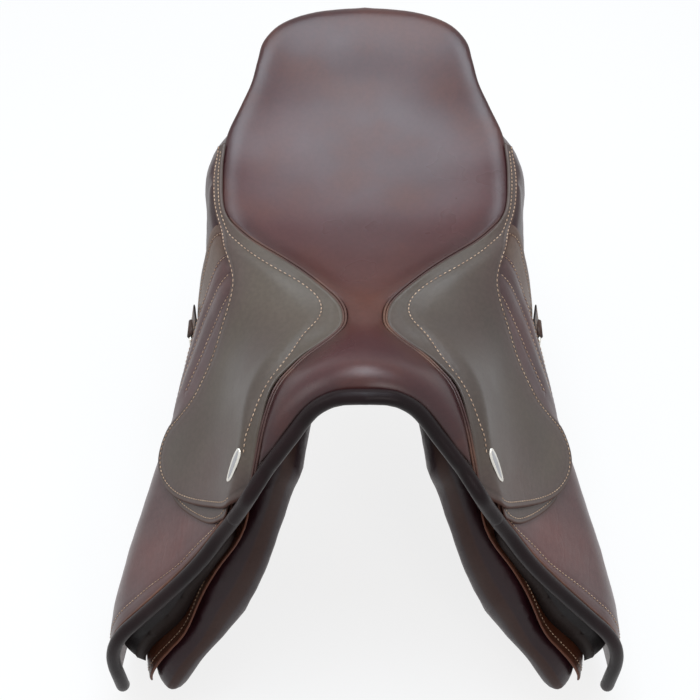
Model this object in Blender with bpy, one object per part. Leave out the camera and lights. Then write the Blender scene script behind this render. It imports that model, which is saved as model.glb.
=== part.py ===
"""A close contact saddle, built up from the tree outwards.

Sizes are in millimetres and become metres when a mesh is made. The pommel
points along -Y, the cantle along +Y, and +Z is up. The origin is where the
middle of the saddle bears on what carries it.

Two shapes carry everything. The seat is a height over the plan (x, y). The
side of the saddle, which the flaps and skirts lie on, is a height h over a
sloping pattern plane (y, u): u runs down and out at 45 degrees, h up and out.
Each leather is a flat pattern cut along a grid, laid on one of the two, and
set off from it by its own layer.
"""

import math

import bmesh
import bpy
from mathutils import Matrix, Vector

for old in list(bpy.data.objects):
    bpy.data.objects.remove(old)

MM = 0.001
ROOT2 = math.sqrt(2.0)

# General clearances
TOUCH_GAP = 0.4
LAYER_GAP = 1.5
GRID = 36.0
TREE_GRID = 18.0

# Seat: seam line between the seat and the skirts (x, y, z), and the crest line (y, z)
SEAM_LINE = (
    (101, -243, 36), (91, -211, 80), (80, -180, 97), (67, -160, 100), (52, -142, 100),
    (34, -124, 98), (21, -108, 97), (19, -93, 96), (24, -77, 95), (38, -60, 95),
    (61, -37, 94), (85, -17, 93), (109, 2, 92), (129, 24, 92), (139, 46, 94),
    (142, 80, 98), (142, 108, 101), (138, 135, 109), (126, 162, 120), (115, 185, 132),
    (109, 208, 143), (103, 232, 150), (85, 254, 154), (52, 270, 155), (0, 278, 155),
)
SEAT_CREST = (
    (-245, 108), (-222, 130), (-205, 143), (-190, 146), (-170, 138), (-145, 124),
    (-115, 107), (-93, 100), (-55, 86), (-20, 77), (20, 74), (60, 75), (105, 82),
    (150, 94), (195, 114), (235, 139), (262, 152), (280, 155),
)
SEAT_SIDE_POWER = 2.0
COVER_THICKNESS = 2.0
SEAT_EDGE_RADIUS = 13.0
FOAM_THICKNESS = 13.0
FOAM_CLEARANCE = 9.0

# Arch line: centre of the roll round the front of the gullet (x, y, z)
ARCH_LINE = ((0, -215, 137), (24, -213, 132), (45, -214, 115), (62, -222, 91), (80, -234, 68),
             (93, -241, 48))
ROLL_RADIUS = 7.0
WELT_RADIUS = 3.0

# Side form: height h over (y, u), as sections across the saddle from front to back
SECTION_U = (-54, 0, 50, 100, 150, 200, 260)
SIDE_SECTIONS = {
    -262: (152, 114, 95, 79, 71, 68, 66),
    -200: (150, 125, 104, 86, 77, 73, 70),
    -93: (81, 102, 109, 106, 100, 92, 85),
    0: (95, 135, 149, 129, 106, 88, 70),
    80: (95, 150, 173, 146, 112, 88, 70),
    150: (90, 150, 168, 147, 113, 88, 70),
    235: (66, 120, 134, 116, 92, 80, 70),
}
# Side form: how far out the flaps hang before they turn straight down (y, x)
WALL_LINE = ((-310, 248), (-280, 253), (-250, 252), (-200, 241), (-160, 226), (-80, 196),
             (0, 187), (80, 186))
WALL_BLEND = 32.0

# Bearing form: the underside of the panels, h over (y, u)
BEARING_U = (-20, 0, 50, 100, 150, 200, 260, 330)
BEARING_SECTIONS = {
    -235: (92, 70, 30, 2, -12, -22, -38, -66),
    -93: (14, 26, 50, 62, 62, 45, 12, -30),
    60: (16, 28, 58, 78, 84, 70, 40, 0),
    150: (24, 38, 66, 86, 96, 90, 70, 40),
    262: (64, 82, 104, 118, 126, 130, 130, 130),
}

# Leathers: thickness, and the layer of each about the side form
FLAP_THICKNESS = 3.2
SKIRT_THICKNESS = 3.6
UNDER_SKIRT_THICKNESS = 1.8
SWEAT_FLAP_THICKNESS = 2.6
BILLET_THICKNESS = 3.0
BILLET_WIDTH = 25.0
BILLET_SPACING = 42.0

# Hinge line of flap and skirt: (y, u, h) at its front and back ends
HINGE_FRONT = (-250, 84, 97)
HINGE_BACK = (25, 56, 163)

# Patterns, as (y, u)
FLAP_FRONT = ((-251, 40), (-253, 62), (-256, 106), (-264, 142), (-273, 182), (-284, 232),
              (-295, 276), (-303, 312), (-306, 334))
FLAP_BELOW = ((-292, 358), (-258, 374), (-213, 364), (-160, 330), (-104, 272), (-66, 210),
              (-36, 158), (-12, 110), (-4, 70), (-12, 38))
SKIRT_EDGE = ((-239, 52), (-242, 84), (-231, 114), (-206, 158), (-186, 183), (-162, 198),
              (-140, 196), (-125, 178), (-119, 150), (-113, 128), (-96, 102), (-72, 72),
              (-48, 44), (-26, 35), (10, 39), (48, 41), (90, 38), (122, 34))
SWEAT_BACK = (-20, 185)
SWEAT_EDGE = ((-238, 92), (-256, 165), (-272, 222), (-288, 270), (-302, 312), (-298, 336),
              (-262, 342), (-205, 322), (-140, 284), (-80, 232), SWEAT_BACK, (12, 168), (25, 150),
              (29, 125), (28, 95), (26, 66), (10, 57), (-60, 66), (-150, 76))
UNDER_SKIRT_EDGE = ((-246, 90), (-247, 106), (-240, 126), (-222, 152), (-200, 176), (-184, 184),
                    (-178, 160), (-196, 110), (-214, 80))
PANEL_EDGE = ((-214, 30), (-222, 62), (-233, 98), (-255, 145), (-278, 205), (-300, 262),
              (-312, 308), (-302, 334), (-266, 330), (-230, 288), (-196, 230), (-140, 176), (-60, 160),
              (10, 146), (70, 128), (130, 120), (185, 108), (228, 84), (254, 50), (262, 20),
              (250, -8), (190, -6), (100, 6), (0, 12), (-93, 8), (-170, 14))

# Tree and plates
TREE_THICKNESS = 8.0
TREE_UNDER_SEAT = COVER_THICKNESS + TOUCH_GAP + FOAM_THICKNESS + FOAM_CLEARANCE
TREE_UNDER_SIDE = 18.0
TREE_BLEND = 10.0
PLATE_THICKNESS = 2.4
PLATE_GAP = 1.8
SPRING_THICKNESS = 1.6
SPRING_GAP = 2.8
TREE_OUTER = (
    (0, -205), (40, -204), (70, -209), (97, -212), (112, -202), (112, -184), (94, -160),
    (80, -130), (76, -93), (88, -50), (106, 0), (119, 50), (123, 100), (113, 150),
    (97, 196), (76, 236), (40, 255), (0, 261),
)
TREE_INNER = ((0, 206), (38, 194), (60, 160), (69, 110), (63, 60), (45, 0), (29, -50),
              (21, -93), (18, -130), (14, -152), (0, -158))

# Reach of the head plate to each side
HEAD_PLATE_REACH = 60.0

# Line and width of the spring rails
SPRING_LINE = ((52, -172), (47, -130), (51, -90), (62, -40), (78, 10), (90, 60), (92, 110),
               (84, 150), (74, 190))
SPRING_WIDTH = 13.0

# Webbing of the seat
WEB_THICKNESS = 1.4
WEB_LAP = 9.0

# Edges of the seat foam and cover
SEAT_EDGE_DROP = 4.0
FOAM_TOP_GAP = 3.0
SEAT_CORNER = (90.0, -229.0)
SEAT_CORNER_REACH = 29.0

# Ends and depth of the welts
WELT_FIRST_Y = -232.0
WELT_SUNK = 2.0

# How far out each layer lies from the side form
SWEAT_LAYER = -14.3
SWEAT_LAYER_BACK = -3.0
BLOCK_SPREAD = 0.175
BLOCK_START_U = 50.0
BILLET_LAYER = -8.4
UNDER_SKIRT_LAYER = FLAP_THICKNESS / 2 + LAYER_GAP + UNDER_SKIRT_THICKNESS / 2
SKIRT_LAYER = UNDER_SKIRT_LAYER + UNDER_SKIRT_THICKNESS / 2 + 1.0 + SKIRT_THICKNESS / 2
SKIRT_SEAM_LAYER = 1.5
SKIRT_SEAM_GAP = 2.6
SKIRT_LOW_REACH = 5.0
BAR_DOME = 11.0
BAR_PLACE = (-134, 20)
BAR_DOME_REACH = (66, 44)

# Upper part of the flap
FLAP_TOP_FRONT = -80.0
FLAP_TOP_BACK = (-12, 36)
FLAP_TOP_MARGIN = 30.0

# Lower end of the front roll
ROLL_HOOK = ((-304, 348), (-296, 356))

# Oval plates
OVAL_FRONT = (-216, 38)
OVAL_BACK = (-227, 74)
OVAL_WIDTH = 10.0
OVAL_THICKNESS = 1.8
OVAL_RIM = 1.6

# Stirrup bars and catches
BAR_Y = (-166, -92)
BAR_PLATE_U = (-10, 11)
BAR_PLATE_LAYER = -5.6
BAR_PLATE_THICKNESS = 2.8
BAR_RADIUS = 4.0
BAR_U = 24.0
BAR_LAYER = 3.0
BAR_END = -104.0
CATCH_PIN_Y = -97.0
CATCH_PIN_RADIUS = 1.3
CATCH_LENGTH = 12.0
CATCH_WIDTH = 8.0
CATCH_THICKNESS = 4.6

# Knee blocks
BLOCK_GAP = 1.6
BLOCK_WIDTH = 60.0
BLOCK_FRONT_U = (118, 160, 210, 260, 312)
BLOCK_BACK_U = (300, 250, 200, 150)
BLOCK_INSET = 13.0
BLOCK_RADIUS = 24.0

# Panels under the tree
PANEL_UNDER_TREE = TREE_THICKNESS + PLATE_THICKNESS + 2 * PLATE_GAP + 2 * LAYER_GAP
PANEL_RADIUS = 22.0
PANEL_GAP = 3.6
PANEL_BACK_DEPTH = 18.0

# Billets and their webs
BILLET_FIRST_Y = -134.0
BILLET_START_U = 64.0
BILLET_END_U = 286.0
WEB_LAYER = -4.8
WEB_LOW_LAYER = -9.2
WEB_STRAP_THICKNESS = 1.4
WEB_WIDTH = 36.0
WEB_START_U = 11.0
WEB_END_U = 86.0

# Dees and their chapes
DEE_Y = 12.0
DEE_FROM_EDGE = 9.0
DEE_U = SWEAT_BACK[1] - DEE_FROM_EDGE
DEE_WIDTH = 30.0
DEE_DROP = 20.0
DEE_WIRE = 1.8
CHAPE_WIDTH = 20.0
CHAPE_LENGTH = 24.0
CHAPE_THICKNESS = 2.4
CHAPE_GAP = 2.6

# Channel lining
LINING_HALF = 26.0
LINING_THICKNESS = 1.4
LINING_UNDER_TREE = 19.0

# Cantle band
CANTLE_FIRST_Y = 128.0
CANTLE_THICKNESS = 3.0
CANTLE_SIDE_HEIGHT = 16.0
CANTLE_BACK_HEIGHT = 32.0


def fair(points):
    """A smooth curve through (x, y) points, straight beyond its ends."""
    xs = [float(p[0]) for p in points]
    ys = [float(p[1]) for p in points]
    last = len(xs) - 1
    slopes = []
    for i in range(len(xs)):
        a, b = max(i - 1, 0), min(i + 1, last)
        slopes.append((ys[b] - ys[a]) / (xs[b] - xs[a]))

    def value(x):
        if x <= xs[0]:
            return ys[0] + slopes[0] * (x - xs[0])
        if x >= xs[last]:
            return ys[last] + slopes[last] * (x - xs[last])
        i = max(k for k in range(last) if xs[k] <= x)
        span = xs[i + 1] - xs[i]
        t = (x - xs[i]) / span
        return ((2 * t**3 - 3 * t**2 + 1) * ys[i] + (t**3 - 2 * t**2 + t) * span * slopes[i]
                + (3 * t**2 - 2 * t**3) * ys[i + 1] + (t**3 - t**2) * span * slopes[i + 1])

    return value


def surface(sections, knots):
    """A height over (y, u) through cross sections that share their u knots."""
    stations = sorted(sections)
    across = [fair(list(zip(knots, sections[y]))) for y in stations]

    def height(y, u):
        y = min(max(y, stations[0] - 30), stations[-1] + 30)
        return fair([(s, f(u)) for s, f in zip(stations, across)])(y)

    return height


def blend_min(a, b, width):
    """The lower of two heights, rounded where they cross."""
    near = max(width - abs(a - b), 0.0)
    return min(a, b) - near * near / (4 * width)


def ease(value, start, end):
    t = min(max((value - start) / (end - start), 0.0), 1.0)
    return t * t * (3 - 2 * t)


crest_z = fair(SEAT_CREST)
wall_x = fair(WALL_LINE)
upper_side = surface(SIDE_SECTIONS, SECTION_U)
bearing = surface(BEARING_SECTIONS, BEARING_U)


def side_height(y, u):
    return blend_min(upper_side(y, u), ROOT2 * wall_x(y) - u, WALL_BLEND)


def from_pattern(y, u, h):
    return Vector(((u + h) / ROOT2, y, (h - u) / ROOT2))


def on_side(y, u, layer=0.0):
    """The point over pattern place (y, u), this far out from the side form."""
    h = side_height(y, u)
    rise_u = (side_height(y, u + 2) - h) / 2
    rise_y = (side_height(y + 2, u) - h) / 2
    return from_pattern(y, u, h + layer * math.sqrt(1 + rise_u**2 + rise_y**2))


def seat_z(x, y):
    """Top of the seat over the plan."""
    width = max(seam_x(y), 16.0)
    part = min(abs(x) / width, 1.15)
    return crest_z(y) + (seam_z(y) - crest_z(y)) * part**SEAT_SIDE_POWER


def side_z(x, y):
    """Height of the side form over the plan, inside the wall."""
    low, high = -80.0, 170.0
    for _ in range(18):
        u = (low + high) / 2
        if from_pattern(y, u, side_height(y, u)).x < x:
            low = u
        else:
            high = u
    return from_pattern(y, low, side_height(y, low)).z


def tree_z(x, y):
    """Top of the tree: under the seat, and beyond the seam under the side form too."""
    edge = max(seam_x(y), 16.0)
    inner = seat_z(min(abs(x), edge), y) - TREE_UNDER_SEAT
    if abs(x) <= edge:
        return inner
    return blend_min(inner, side_z(abs(x), y) - TREE_UNDER_SIDE, TREE_BLEND)


def rounded(points, steps=3, closed=True):
    """A smooth outline through chosen points, as a list of 2D points."""
    count = len(points)
    result = []
    for i in range(count if closed else count - 1):
        ring = [points[(i + k) % count] if closed else points[min(max(i + k, 0), count - 1)]
                for k in (-1, 0, 1, 2)]
        for step in range(steps):
            t = step / steps
            result.append(tuple(
                0.5 * (2 * b + (c - a) * t + (2 * a - 5 * b + 4 * c - d) * t**2
                       + (3 * b - a - 3 * c + d) * t**3)
                for a, b, c, d in zip(*ring)))
    if not closed:
        result.append(tuple(points[-1]))
    return result


def inset_line(points, distance):
    """An open line of 2D points moved to its left by a distance."""
    moved = []
    for i, point in enumerate(points):
        a = Vector(points[max(i - 1, 0)][:2])
        b = Vector(points[min(i + 1, len(points) - 1)][:2])
        along = (b - a).normalized()
        moved.append((point[0] - along.y * distance, point[1] + along.x * distance))
    return moved


def flat_pattern(outline, step=GRID, rings=(), cuts=()):
    """A pattern in its own plane, with rings inside its rim, cut by half planes and a grid."""
    bm = bmesh.new()
    face = bm.faces.new([bm.verts.new((a, b, 0)) for a, b in outline])
    face.normal_update()
    depth = 0.0
    for ring in rings:
        bmesh.ops.inset_region(bm, faces=[face], thickness=ring - depth, use_boundary=True,
                               use_even_offset=True)
        depth = ring
    for place, normal in cuts:
        bmesh.ops.bisect_plane(bm, geom=bm.verts[:] + bm.edges[:] + bm.faces[:],
                               plane_co=(*place, 0), plane_no=(*normal, 0), clear_inner=True)
    for axis in (0, 1):
        values = [v.co[axis] for v in bm.verts]
        for k in range(math.ceil(min(values) / step), math.floor(max(values) / step) + 1):
            if min(values) + 1.0 < k * step < max(values) - 1.0:
                co, no = [0, 0, 0], [0, 0, 0]
                co[axis], no[axis] = k * step, 1
                bmesh.ops.bisect_plane(bm, geom=bm.verts[:] + bm.edges[:] + bm.faces[:],
                                       plane_co=co, plane_no=no)
    bmesh.ops.remove_doubles(bm, verts=bm.verts[:], dist=0.6)
    bmesh.ops.triangulate(bm, faces=bm.faces[:])
    return bm


def rim_distance(outline):
    """A function that says how far inside an outline a place is."""
    ends = [(Vector(a), Vector(b)) for a, b in zip(outline, outline[1:] + outline[:1])]

    def distance(a, b):
        here = Vector((a, b))
        best = 1e9
        for start, end in ends:
            along = end - start
            t = min(max((here - start).dot(along) / max(along.length_squared, 1e-9), 0), 1)
            best = min(best, (here - start - along * t).length)
        return best

    return distance


def crown(distance, radius, least=0.16):
    """How full a padded piece is at this distance from its rim, from least to 1."""
    if distance >= radius:
        return 1.0
    return max(least, math.sqrt(1 - (1 - distance / radius) ** 2))


def solid_from(bm, place, mirror=False):
    """Gives a pattern its two faces: place(a, b, upper) returns each point in millimetres."""
    if mirror:
        bmesh.ops.mirror(bm, geom=bm.verts[:] + bm.edges[:] + bm.faces[:],
                         matrix=Matrix.Identity(4), merge_dist=0.01, axis="X")
        bmesh.ops.remove_doubles(bm, verts=bm.verts[:], dist=0.01)
    made = bmesh.ops.extrude_face_region(bm, geom=bm.faces[:])
    upper = {v for v in made["geom"] if isinstance(v, bmesh.types.BMVert)}
    for vert in bm.verts:
        vert.co = Vector(place(vert.co.x, vert.co.y, vert in upper)) * MM
    bmesh.ops.recalc_face_normals(bm, faces=bm.faces[:])
    if bm.calc_volume(signed=True) < 0:
        bmesh.ops.reverse_faces(bm, faces=bm.faces[:])
    mesh = bpy.data.meshes.new("pattern")
    bm.to_mesh(mesh)
    bm.free()
    return mesh


saddle = bpy.data.collections.new("close_contact_saddle")
bpy.context.scene.collection.children.link(saddle)


def leather(name, color, roughness=0.5, metallic=0.0):
    material = bpy.data.materials.new(name)
    material.use_nodes = True
    shader = material.node_tree.nodes["Principled BSDF"]
    shader.inputs["Base Color"].default_value = (*color, 1)
    shader.inputs["Roughness"].default_value = roughness
    shader.inputs["Metallic"].default_value = metallic
    return material


def add(name, mesh, material, origin=(0, 0, 0), smooth=40):
    """Adds a mesh that is in world metres as an object whose origin is at a given place."""
    mesh.name = name
    mesh.materials.clear()
    mesh.materials.append(material)
    mesh.shade_smooth()
    mesh.set_sharp_from_angle(angle=math.radians(smooth))
    origin = Vector(origin) * MM
    mesh.transform(Matrix.Translation(-origin))
    obj = bpy.data.objects.new(name, mesh)
    obj.location = origin
    saddle.objects.link(obj)
    return obj


def mirrored(mesh):
    """The left-hand twin of a right-hand mesh."""
    twin = mesh.copy()
    twin.transform(Matrix.Scale(-1, 4, (1, 0, 0)))
    twin.flip_normals()
    return twin


def add_pair(name, mesh, material, origin=(0, 0, 0), smooth=40):
    """Adds a right-hand mesh and its left-hand twin."""
    twin = mirrored(mesh)
    left = add(name + "_left", twin, material, (-origin[0], origin[1], origin[2]), smooth)
    right = add(name + "_right", mesh, material, origin, smooth)
    return left, right


def tube_mesh(points, radius, resolution=2, closed=False):
    """The mesh of a round tube along points in millimetres."""
    curve = bpy.data.curves.new("tube", "CURVE")
    curve.dimensions = "3D"
    curve.bevel_depth = radius * MM
    curve.bevel_resolution = resolution
    curve.use_fill_caps = not closed
    line = curve.splines.new("POLY")
    line.points.add(len(points) - 1)
    for point, place in zip(line.points, points):
        point.co = (*(Vector(place) * MM), 1)
    line.use_cyclic_u = closed
    guide = bpy.data.objects.new("tube", curve)
    bpy.context.scene.collection.objects.link(guide)
    graph = bpy.context.evaluated_depsgraph_get()
    mesh = bpy.data.meshes.new_from_object(guide.evaluated_get(graph))
    bpy.data.objects.remove(guide)
    bm = bmesh.new()
    bm.from_mesh(mesh)
    bmesh.ops.remove_doubles(bm, verts=bm.verts[:], dist=0.00001)
    bm.to_mesh(mesh)
    bm.free()
    return mesh


# The seam as a fine line that every piece along it shares
SEAM = rounded(SEAM_LINE, 2, closed=False)
seam_x = fair([(p[1], p[0]) for p in SEAM])
seam_z = fair([(p[1], p[2]) for p in SEAM])
ARCH = rounded(ARCH_LINE, 2, closed=False)

wood = leather("laminated_wood", (0.50, 0.33, 0.17), 0.6)
steel = leather("tree_steel", (0.40, 0.40, 0.42), 0.4, 1.0)
bright = leather("bright_metal", (0.72, 0.70, 0.66), 0.22, 1.0)
canvas = leather("canvas", (0.62, 0.55, 0.42), 0.9)
padding = leather("foam", (0.75, 0.70, 0.58), 0.9)
seat_hide = leather("seat_leather", (0.165, 0.095, 0.095), 0.42)
skirt_hide = leather("skirt_leather", (0.125, 0.105, 0.090), 0.45)
flap_hide = leather("flap_leather", (0.110, 0.088, 0.078), 0.48)
roll_hide = leather("roll_leather", (0.055, 0.042, 0.046), 0.42)
tan_hide = leather("sweat_flap_leather", (0.150, 0.070, 0.040), 0.5)
block_hide = leather("block_leather", (0.025, 0.018, 0.018), 0.5)
panel_hide = leather("panel_leather", (0.050, 0.026, 0.030), 0.45)
strap_hide = leather("strap_leather", (0.060, 0.040, 0.032), 0.5)


def boolean(base, tool, operation):
    """One mesh from two closed ones, joined or cut."""
    pair = [bpy.data.objects.new("part", m) for m in (base, tool)]
    for obj in pair:
        bpy.context.scene.collection.objects.link(obj)
    modifier = pair[0].modifiers.new("join", "BOOLEAN")
    modifier.object = pair[1]
    modifier.operation = operation
    modifier.solver = "EXACT"
    graph = bpy.context.evaluated_depsgraph_get()
    mesh = bpy.data.meshes.new_from_object(pair[0].evaluated_get(graph))
    for obj in pair:
        bpy.data.objects.remove(obj)
    return mesh


def box_mesh(frame, size):
    """A box of a size in millimetres, centred on a frame."""
    bm = bmesh.new()
    bmesh.ops.create_cube(bm, size=1.0)
    bmesh.ops.scale(bm, vec=size, verts=bm.verts[:])
    bmesh.ops.transform(bm, matrix=frame, verts=bm.verts[:])
    bmesh.ops.scale(bm, vec=(MM, MM, MM), verts=bm.verts[:])
    mesh = bpy.data.meshes.new("box")
    bm.to_mesh(mesh)
    bm.free()
    return mesh


def both_halves(points):
    """A closed outline from its right half, given from the front centre to the back centre."""
    left = [(-x, y) for x, y in reversed(points) if x > 0.01]
    return [tuple(p[:2]) for p in points] + left


# Tree
tree_half = fair([(y, x) for x, y in TREE_OUTER[5:]])

outline = rounded(TREE_OUTER, 2, closed=False) + rounded(TREE_INNER, 2, closed=False)
mesh = solid_from(
    flat_pattern(outline, TREE_GRID),
    lambda x, y, upper: (x, y, tree_z(x, y) - (0 if upper else TREE_THICKNESS)),
    mirror=True,
)
add("tree", mesh, wood)


# Gullet plate under the head and head plate on top of it
outline = [(0, -198), (44, -197), (72, -199), (76, -190), (68, -180), (46, -179), (0, -181)]
mesh = solid_from(
    flat_pattern(outline, TREE_GRID),
    lambda x, y, upper: (x, y, tree_z(x, y) - TREE_THICKNESS - PLATE_GAP
                         - (0 if upper else PLATE_THICKNESS)),
    mirror=True,
)
add("gullet_plate", mesh, steel)
outline = [(0, -196), (40, -196), (HEAD_PLATE_REACH, -199), (HEAD_PLATE_REACH, -184),
           (40, -180), (0, -180)]
mesh = solid_from(
    flat_pattern(outline, TREE_GRID),
    lambda x, y, upper: (x, y, tree_z(x, y) + PLATE_GAP + (PLATE_THICKNESS if upper else 0)),
    mirror=True,
)
add("head_plate", mesh, steel)

# Spring rails, bent to the underside of the tree
line = rounded(SPRING_LINE, 1, closed=False)
outline = inset_line(line, SPRING_WIDTH / 2) + inset_line(line, -SPRING_WIDTH / 2)[::-1]
mesh = solid_from(
    flat_pattern(outline, TREE_GRID),
    lambda x, y, upper: (x, y, tree_z(x, y) - TREE_THICKNESS - SPRING_GAP
                         - (0 if upper else SPRING_THICKNESS)),
)
add_pair("spring_rail", mesh, steel)

# Seat webbing, strained over the opening of the tree
lap = inset_line(rounded(TREE_INNER[1:-1], 1, closed=False), -WEB_LAP)
outline = [(0, 218)] + lap + [(0, -168)]
mesh = solid_from(
    flat_pattern(outline, TREE_GRID),
    lambda x, y, upper: (x, y, tree_z(x, y) + PLATE_GAP + (WEB_THICKNESS if upper else 0)),
    mirror=True,
)
add("seat_webbing", mesh, canvas)

# Seat foam and cover
seat_back = [p for p in SEAM if p[1] > SEAT_CORNER[1] + SEAT_CORNER_REACH]


def seat_outline(gap):
    front = inset_line(ARCH[:8], ROLL_RADIUS + gap)
    side = inset_line(seat_back, WELT_RADIUS + gap)
    side[-1] = (0.0, side[-1][1])
    front[0] = (0.0, front[0][1])
    return both_halves(front + [SEAT_CORNER] + side)


def seat_top(rim):
    def top(x, y):
        return seat_z(x, y) - SEAT_EDGE_DROP * (1 - crown(rim(x, y), SEAT_EDGE_RADIUS, 0.0))
    return top


outline = seat_outline(TOUCH_GAP)
top = seat_top(rim_distance(outline))
mesh = solid_from(
    flat_pattern(outline, rings=(4.0, SEAT_EDGE_RADIUS - 2)),
    lambda x, y, upper: (x, y, top(x, y) - (0 if upper else COVER_THICKNESS)),
)
add("seat_cover", mesh, seat_hide)
foam_top_depth = COVER_THICKNESS + FOAM_TOP_GAP
mesh = solid_from(
    flat_pattern(seat_outline(3 * TOUCH_GAP)),
    lambda x, y, upper: (x, y, top(x, y) - foam_top_depth if upper
                         else tree_z(x, y) + FOAM_CLEARANCE),
)
add("seat_foam", mesh, padding)

# Welts along the seam, from the arch to the middle of the cantle
path = [(x, y, z - WELT_SUNK) for x, y, z in SEAM if y > WELT_FIRST_Y]
path[-1] = (2 * TOUCH_GAP, *path[-1][1:])
add_pair("welt", tube_mesh(path, WELT_RADIUS, 1), seat_hide)

# Arch roll, round the front of the gullet from one skirt corner to the other
path = [Vector(p) for p in ARCH[:-1]] + [on_side(-251, 44), on_side(-253, 62), on_side(-254.4, 83)]
arch = [(-p[0], p[1], p[2]) for p in reversed(path[1:])] + path
add("arch_roll", tube_mesh(arch, ROLL_RADIUS, 2), roll_hide)


# Layers about the side form, from the horse outwards


def bar_dome(y, u):
    """How far the skirt stands off over the stirrup bar."""
    across = ((y - BAR_PLACE[0]) / BAR_DOME_REACH[0]) ** 2
    down = ((u - BAR_PLACE[1]) / BAR_DOME_REACH[1]) ** 2
    return BAR_DOME * math.exp(-across - down)


def block_depth(y, u):
    """How much the knee block spreads the sweat flap from the flap."""
    return (1 - ease(y, -215, -120)) * BLOCK_SPREAD * max(u - BLOCK_START_U, 0.0)


def sweat_layer(y, u):
    base = SWEAT_LAYER + (SWEAT_LAYER_BACK - SWEAT_LAYER) * ease(y, -40, 40)
    return base - block_depth(y, u)


def hinge_h(y):
    part = (y - HINGE_FRONT[0]) / (HINGE_BACK[0] - HINGE_FRONT[0])
    return HINGE_FRONT[2] + (HINGE_BACK[2] - HINGE_FRONT[2]) * part


def hinge_cut(moving):
    """A half plane along the hinge line: what lies below it moves with the hinge."""
    normal = Vector((HINGE_FRONT[1] - HINGE_BACK[1], HINGE_BACK[0] - HINGE_FRONT[0])).normalized()
    side = 1 if moving else -1
    place = Vector(HINGE_FRONT[:2]) + side * normal * TOUCH_GAP / 2
    return (tuple(place), tuple(side * normal))


def leather_sheet(outline, thickness, layer, cuts=(), step=GRID):
    """A leather of one thickness that lies on the side form at its layer(y, u)."""
    def place(y, u, upper):
        return on_side(y, u, layer(y, u) + (thickness / 2 if upper else -thickness / 2))
    return solid_from(flat_pattern(outline, step, cuts=cuts), place)


HINGE_POINT = from_pattern(*HINGE_FRONT)
HINGE_END = from_pattern(*HINGE_BACK)

# Flaps: one pattern, divided where the leather bends under the skirt
SEAM_U = [((p[0] - p[2]) / ROOT2, p[1]) for p in SEAM]
seam_u = fair([(y, u) for u, y in SEAM_U])
hinge_u = fair([HINGE_FRONT[:2], HINGE_BACK[:2]])
flap_edge = inset_line(rounded(FLAP_FRONT, 2, closed=False), -ROLL_RADIUS - 1.0)
flap_edge = [p for p in flap_edge if p[1] > 60]
flap_low = rounded(FLAP_BELOW, 2, closed=False)
outline = [(flap_edge[0][0], 62)] + flap_edge + flap_low[2:]
mesh = leather_sheet(outline, FLAP_THICKNESS, lambda y, u: 0.0, [hinge_cut(True)], 24)
add_pair("flap", mesh, flap_hide, HINGE_POINT)
outline = [(FLAP_TOP_FRONT, 100), (FLAP_TOP_FRONT, seam_u(FLAP_TOP_FRONT) + FLAP_TOP_MARGIN)]
outline += [(y, seam_u(y) + FLAP_TOP_MARGIN) for y in (-70, -58, -46, -34)]
outline += [FLAP_TOP_BACK, (-4, 70), (-3, 100)]
mesh = leather_sheet(outline, FLAP_THICKNESS, lambda y, u: 0.0, [hinge_cut(False)])
add_pair("flap_top", mesh, flap_hide)

# Front rolls of the flaps
roll_line = rounded(FLAP_FRONT + ROLL_HOOK, 2, closed=False)
path = [on_side(-254.5, 85.6)] + [on_side(y, u) for y, u in roll_line if u > 90]
mesh = tube_mesh(path, ROLL_RADIUS, 2)
add_pair("flap_roll", mesh, roll_hide, HINGE_POINT)

# Skirts and the smaller skirts under them
outline = rounded(SKIRT_EDGE, 2, closed=False)
skirt_seam = inset_line([(y, seam_u(y)) for x, y, z in SEAM if -222 < y < 130][::2],
                        WELT_RADIUS + SKIRT_SEAM_GAP)
outline = outline + skirt_seam[::-1]


def skirt_layer(y, u):
    """Low along the seam, then lying over the flap and doming over the stirrup bar."""
    lie = ease(u - seam_u(y), SKIRT_LOW_REACH, FLAP_TOP_MARGIN)
    return SKIRT_SEAM_LAYER + (SKIRT_LAYER - SKIRT_SEAM_LAYER) * lie + bar_dome(y, u)


mesh = leather_sheet(outline, SKIRT_THICKNESS, skirt_layer, [hinge_cut(True)])
add_pair("skirt", mesh, skirt_hide, HINGE_POINT)
mesh = leather_sheet(outline, SKIRT_THICKNESS, skirt_layer, [hinge_cut(False)])
add_pair("skirt_top", mesh, skirt_hide)
outline = rounded(UNDER_SKIRT_EDGE, 2)
mesh = leather_sheet(outline, UNDER_SKIRT_THICKNESS,
                     lambda y, u: UNDER_SKIRT_LAYER + bar_dome(y, u), [hinge_cut(True)])
add_pair("under_skirt", mesh, skirt_hide, HINGE_POINT)

# Small oval plates near the front corners of the skirts
along = Vector(OVAL_BACK) - Vector(OVAL_FRONT)
middle = (Vector(OVAL_BACK) + Vector(OVAL_FRONT)) / 2
side = Vector((-along.y, along.x)).normalized()
outline = []
for k in range(20):
    turn = k * math.tau / 20
    narrow = OVAL_WIDTH / 2 * math.sin(turn) * (1 - 0.25 * math.cos(turn) ** 2)
    outline.append(tuple(middle + along / 2 * math.cos(turn) + side * narrow))
rim = rim_distance(outline)


def oval_face(y, u, upper):
    layer = skirt_layer(y, u) + SKIRT_THICKNESS / 2 + TOUCH_GAP
    raised = OVAL_THICKNESS - (0.6 if rim(y, u) > OVAL_RIM - 0.3 else 0.0)
    return on_side(y, u, layer + (raised if upper else 0))


mesh = solid_from(flat_pattern(outline, 100, rings=(OVAL_RIM * 0.5, OVAL_RIM)), oval_face)
add_pair("oval_plate", mesh, bright, smooth=25)


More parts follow.
